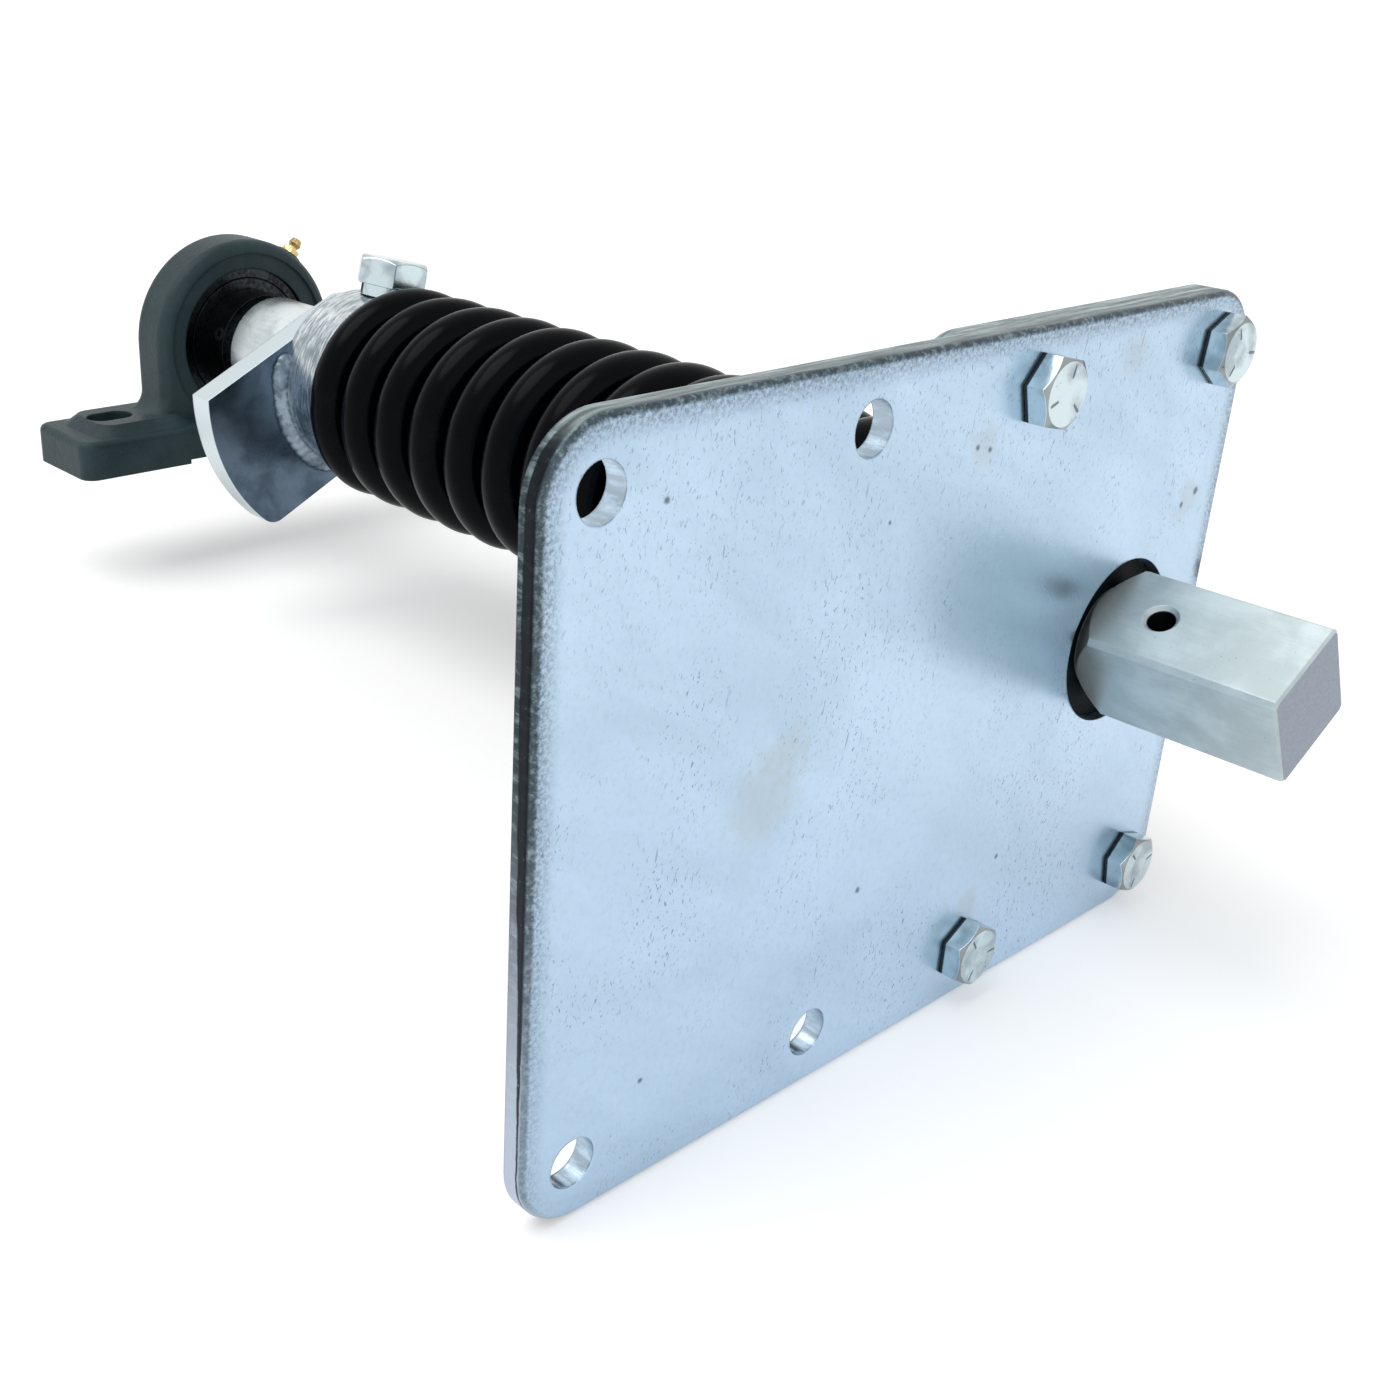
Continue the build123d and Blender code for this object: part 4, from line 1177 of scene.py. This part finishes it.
@dataclass
class DriveLine:
    """The shaft, the collar with its lever plate and set bolt, and the sleeve."""

    finishes: Finishes
    collar_radius: float = 39.4 * MM
    collar_front: float = 360.81 * MM
    collar_back: float = 391.01 * MM
    bolt_along: float = 376.91 * MM
    bolt_turn: float = 78.0
    head_turn: float = -4.0
    bolt_flats: float = 28.6 * MM
    bolt_head_low: float = 43.0 * MM
    bolt_head_height: float = 11.9 * MM
    bolt_radius: float = 9.525 * MM
    bolt_low: float = 16.1 * MM
    tip_radius: float = 5.0 * MM
    tip_low: float = 12.4 * MM
    head_softness: float = 0.5 * MM
    lever_angle: float = 206.0
    lever_bead_size: float = 5.4 * MM
    lever_bead_half_arc: float = 50.0
    end_bead_reach: float = 4.5 * MM
    end_bead_length: float = 3.3 * MM

    def build_set_bolt(self) -> None:
        """Replace the set bolt: a softened hexagon head on its shank, standing out from the shaft."""
        place = (Matrix.Translation((0, self.bolt_along, 0))
                 @ Matrix.Rotation(-math.radians(self.bolt_turn), 4, "Y")
                 @ Matrix.Rotation(math.radians(90), 4, "Y")
                 @ Matrix.Rotation(math.radians(self.head_turn), 4, "Z"))
        head = hexagon_rows(self.bolt_flats, self.bolt_head_height) + np.array([0, 0, self.bolt_head_low])
        shank = tube_rows([(0, self.tip_low), (self.tip_radius, self.tip_low),
                           (self.tip_radius, self.bolt_low), (self.bolt_radius, self.bolt_low),
                           (self.bolt_radius, self.bolt_head_low), (0, self.bolt_head_low)])
        piece = gather("lock_bolt", [(placed(head, place), True), (placed(shank, place), True)])
        crease(piece, 30)
        soften(piece, self.head_softness)
        dress(piece, self.finishes.hardware)
        stand_for(piece, Body.DRIVE, "zinc_fasteners", "set_bolt")

    def build(self) -> None:
        """Dress the turning side."""
        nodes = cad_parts
        self.build_set_bolt()
        dress(nodes["set_bolt_lock_washer"], self.finishes.hardware)
        dress(nodes["drive_shaft"], self.finishes.bar)
        dress(nodes["tension_collar"], self.finishes.collar)
        dress(nodes["tension_plate"], self.finishes.lever)
        dress(nodes["spacer_sleeve"], self.finishes.sleeve)
        end_bead = Bead("coil_end_bead", self.collar_radius, self.collar_front, self.end_bead_reach,
                        self.end_bead_length, ripples=70, seed=1.3)
        end_bead.build(self.finishes.weld, Body.DRIVE, "rear_spring_weld")
        lever_bead = Bead("lever_bead", self.collar_radius, self.collar_back, self.lever_bead_size,
                          -self.lever_bead_size, self.lever_angle - self.lever_bead_half_arc,
                          self.lever_angle + self.lever_bead_half_arc, ripples=64, seed=0.4)
        lever_bead.build(self.finishes.dark_weld, Body.DRIVE, "tension_plate_weld")


@dataclass
class BearingBlock:
    """The cast block, its bearing insert and the grease nipple."""

    finishes: Finishes

    def build(self) -> None:
        """Dress the block and the bearing inside it."""
        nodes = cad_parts
        dress(nodes["bearing_housing"], self.finishes.casting)
        for name in ("bearing_balls", "bearing_cage"):
            dress(nodes[name], self.finishes.bearing)
        # the rings and flingers wear near-black steel as painted shade in the block's recess
        for name in ("bearing_outer_ring", "bearing_inner_ring", "front_flinger", "rear_flinger"):
            dress(nodes[name], self.finishes.shade_dark_steel)
        for name in ("front_seal", "rear_seal"):
            dress(nodes[name], self.finishes.seal)
        dress(nodes["bearing_set_screws"], self.finishes.oxide)
        dress(nodes["grease_nipple"], self.finishes.brass)


@dataclass
class Lamp:
    """One broad soft lamp, far away, that lights every place alike."""

    name: str
    place: tuple
    target: tuple
    strength: float
    spread: float
    colour: tuple = (1.0, 1.0, 1.0)

    def build(self) -> None:
        """Put the lamp in the scene."""
        data = bpy.data.lights.new(self.name, "SUN")
        data.energy = self.strength
        data.angle = math.radians(self.spread)
        data.color = self.colour
        lamp = bpy.data.objects.new(self.name, data)
        lamp.location = self.place
        lamp.rotation_euler = (Vector(self.target) - Vector(self.place)).to_track_quat("-Z", "Y").to_euler()
        bpy.context.scene.collection.objects.link(lamp)


@dataclass
class Studio:
    """White floor, white world, soft lamps and the camera."""

    floor_level: float = -101.65 * MM
    floor_reach: float = 30.0
    world_level: float = 0.6
    floor_lift: float = 0.28
    floor_paint: tuple = (0.9, 0.9, 0.9, 1.0)
    lens: float = 44.467
    shift_x: float = 0.0717
    shift_y: float = 0.0310
    eye: tuple = (-0.45095, -0.24464, 0.18886)
    right: tuple = (0.73267, -0.67927, 0.04226)
    up: tuple = (0.26295, 0.33980, 0.90299)
    forward: tuple = (0.62774, 0.65048, -0.42757)
    lamps: tuple = (
        Lamp("key_lamp", (-0.45, 0.45, 1.0), (0.0, 0.25, 0.0), 1.25, 44.0, (1.0, 0.99, 0.98)),
        Lamp("front_lamp", (-0.6, -1.6, 0.9), (-0.1, 0.0, 0.0), 0.25, 60.0, (0.94, 0.97, 1.0)),
    )

    def floor_material(self) -> bpy.types.Material:
        """A white floor that keeps shadows and is lifted to pure white for the camera.

        Returns:
            The material.
        """
        material = bpy.data.materials.new("white_floor")
        material.use_nodes = True
        tree = material.node_tree
        tree.nodes.clear()
        output = tree.nodes.new("ShaderNodeOutputMaterial")
        total = tree.nodes.new("ShaderNodeAddShader")
        paint = tree.nodes.new("ShaderNodeBsdfDiffuse")
        paint.inputs["Color"].default_value = self.floor_paint
        glow = tree.nodes.new("ShaderNodeEmission")
        seen = self.seen_directly(tree)
        lift = tree.nodes.new("ShaderNodeMath")
        lift.operation = "MULTIPLY"
        lift.inputs[1].default_value = self.floor_lift
        tree.links.new(seen, lift.inputs[0])
        tree.links.new(lift.outputs[0], glow.inputs["Strength"])
        tree.links.new(paint.outputs[0], total.inputs[0])
        tree.links.new(glow.outputs[0], total.inputs[1])
        tree.links.new(total.outputs[0], output.inputs["Surface"])
        return material

    def seen_directly(self, tree: bpy.types.NodeTree) -> Socket:
        """1 where a camera, glossy or transmission ray looks, else 0.

        Args:
            tree: the node tree to add to.

        Returns:
            The value.
        """
        path = tree.nodes.new("ShaderNodeLightPath")
        value = path.outputs["Is Camera Ray"]
        for name in ("Is Glossy Ray", "Is Transmission Ray"):
            either = tree.nodes.new("ShaderNodeMath")
            either.operation = "MAXIMUM"
            tree.links.new(value, either.inputs[0])
            tree.links.new(path.outputs[name], either.inputs[1])
            value = either.outputs[0]
        return value

    def build_floor(self) -> None:
        """Lay the floor under the plate's bottom edge."""
        ends = np.array([-self.floor_reach, self.floor_reach])
        x, y = np.meshgrid(ends, ends, indexing="ij")
        corners = np.stack([x, y, np.full_like(x, self.floor_level)], axis=-1)
        floor = shell("floor", corners, close_columns=False)
        dress(floor, self.floor_material())

    def build_world(self) -> None:
        """A white world, at full strength for the camera and softer as a light."""
        world = bpy.data.worlds.new("white_world")
        bpy.context.scene.world = world
        world.use_nodes = True
        tree = world.node_tree
        background = tree.nodes["Background"]
        background.inputs["Color"].default_value = (1, 1, 1, 1)
        level = tree.nodes.new("ShaderNodeMapRange")
        level.inputs["To Min"].default_value = self.world_level
        level.inputs["To Max"].default_value = 1.0
        tree.links.new(self.seen_directly(tree), level.inputs["Value"])
        tree.links.new(level.outputs["Result"], background.inputs["Strength"])

    def build_camera(self) -> None:
        """Stand the camera where the photograph was taken from."""
        data = bpy.data.cameras.new("photo_camera")
        data.sensor_width = 36.0
        data.lens = self.lens
        data.shift_x = self.shift_x
        data.shift_y = self.shift_y
        data.clip_start = 0.01
        camera = bpy.data.objects.new("photo_camera", data)
        back = tuple(-part for part in self.forward)
        axes = Matrix((self.right, self.up, back)).transposed().to_4x4()
        camera.matrix_world = Matrix.Translation(self.eye) @ axes
        bpy.context.scene.collection.objects.link(camera)
        bpy.context.scene.camera = camera

    def build(self) -> None:
        """Build the floor, world, lamps and camera."""
        bpy.context.scene.view_settings.view_transform = "Standard"
        self.build_floor()
        self.build_world()
        self.build_camera()
        for lamp in self.lamps:
            lamp.build()


def main() -> None:
    """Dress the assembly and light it."""
    logging.basicConfig(level=logging.INFO, format="%(name)s: %(message)s")
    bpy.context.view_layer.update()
    Studio().build()
    finishes = Finishes()
    for assembly in (PlateSet(finishes), Coil(finishes), DriveLine(finishes), BearingBlock(finishes)):
        assembly.build()
        log.info("built %s", type(assembly).__name__)


if __name__ == "__main__":
    main()
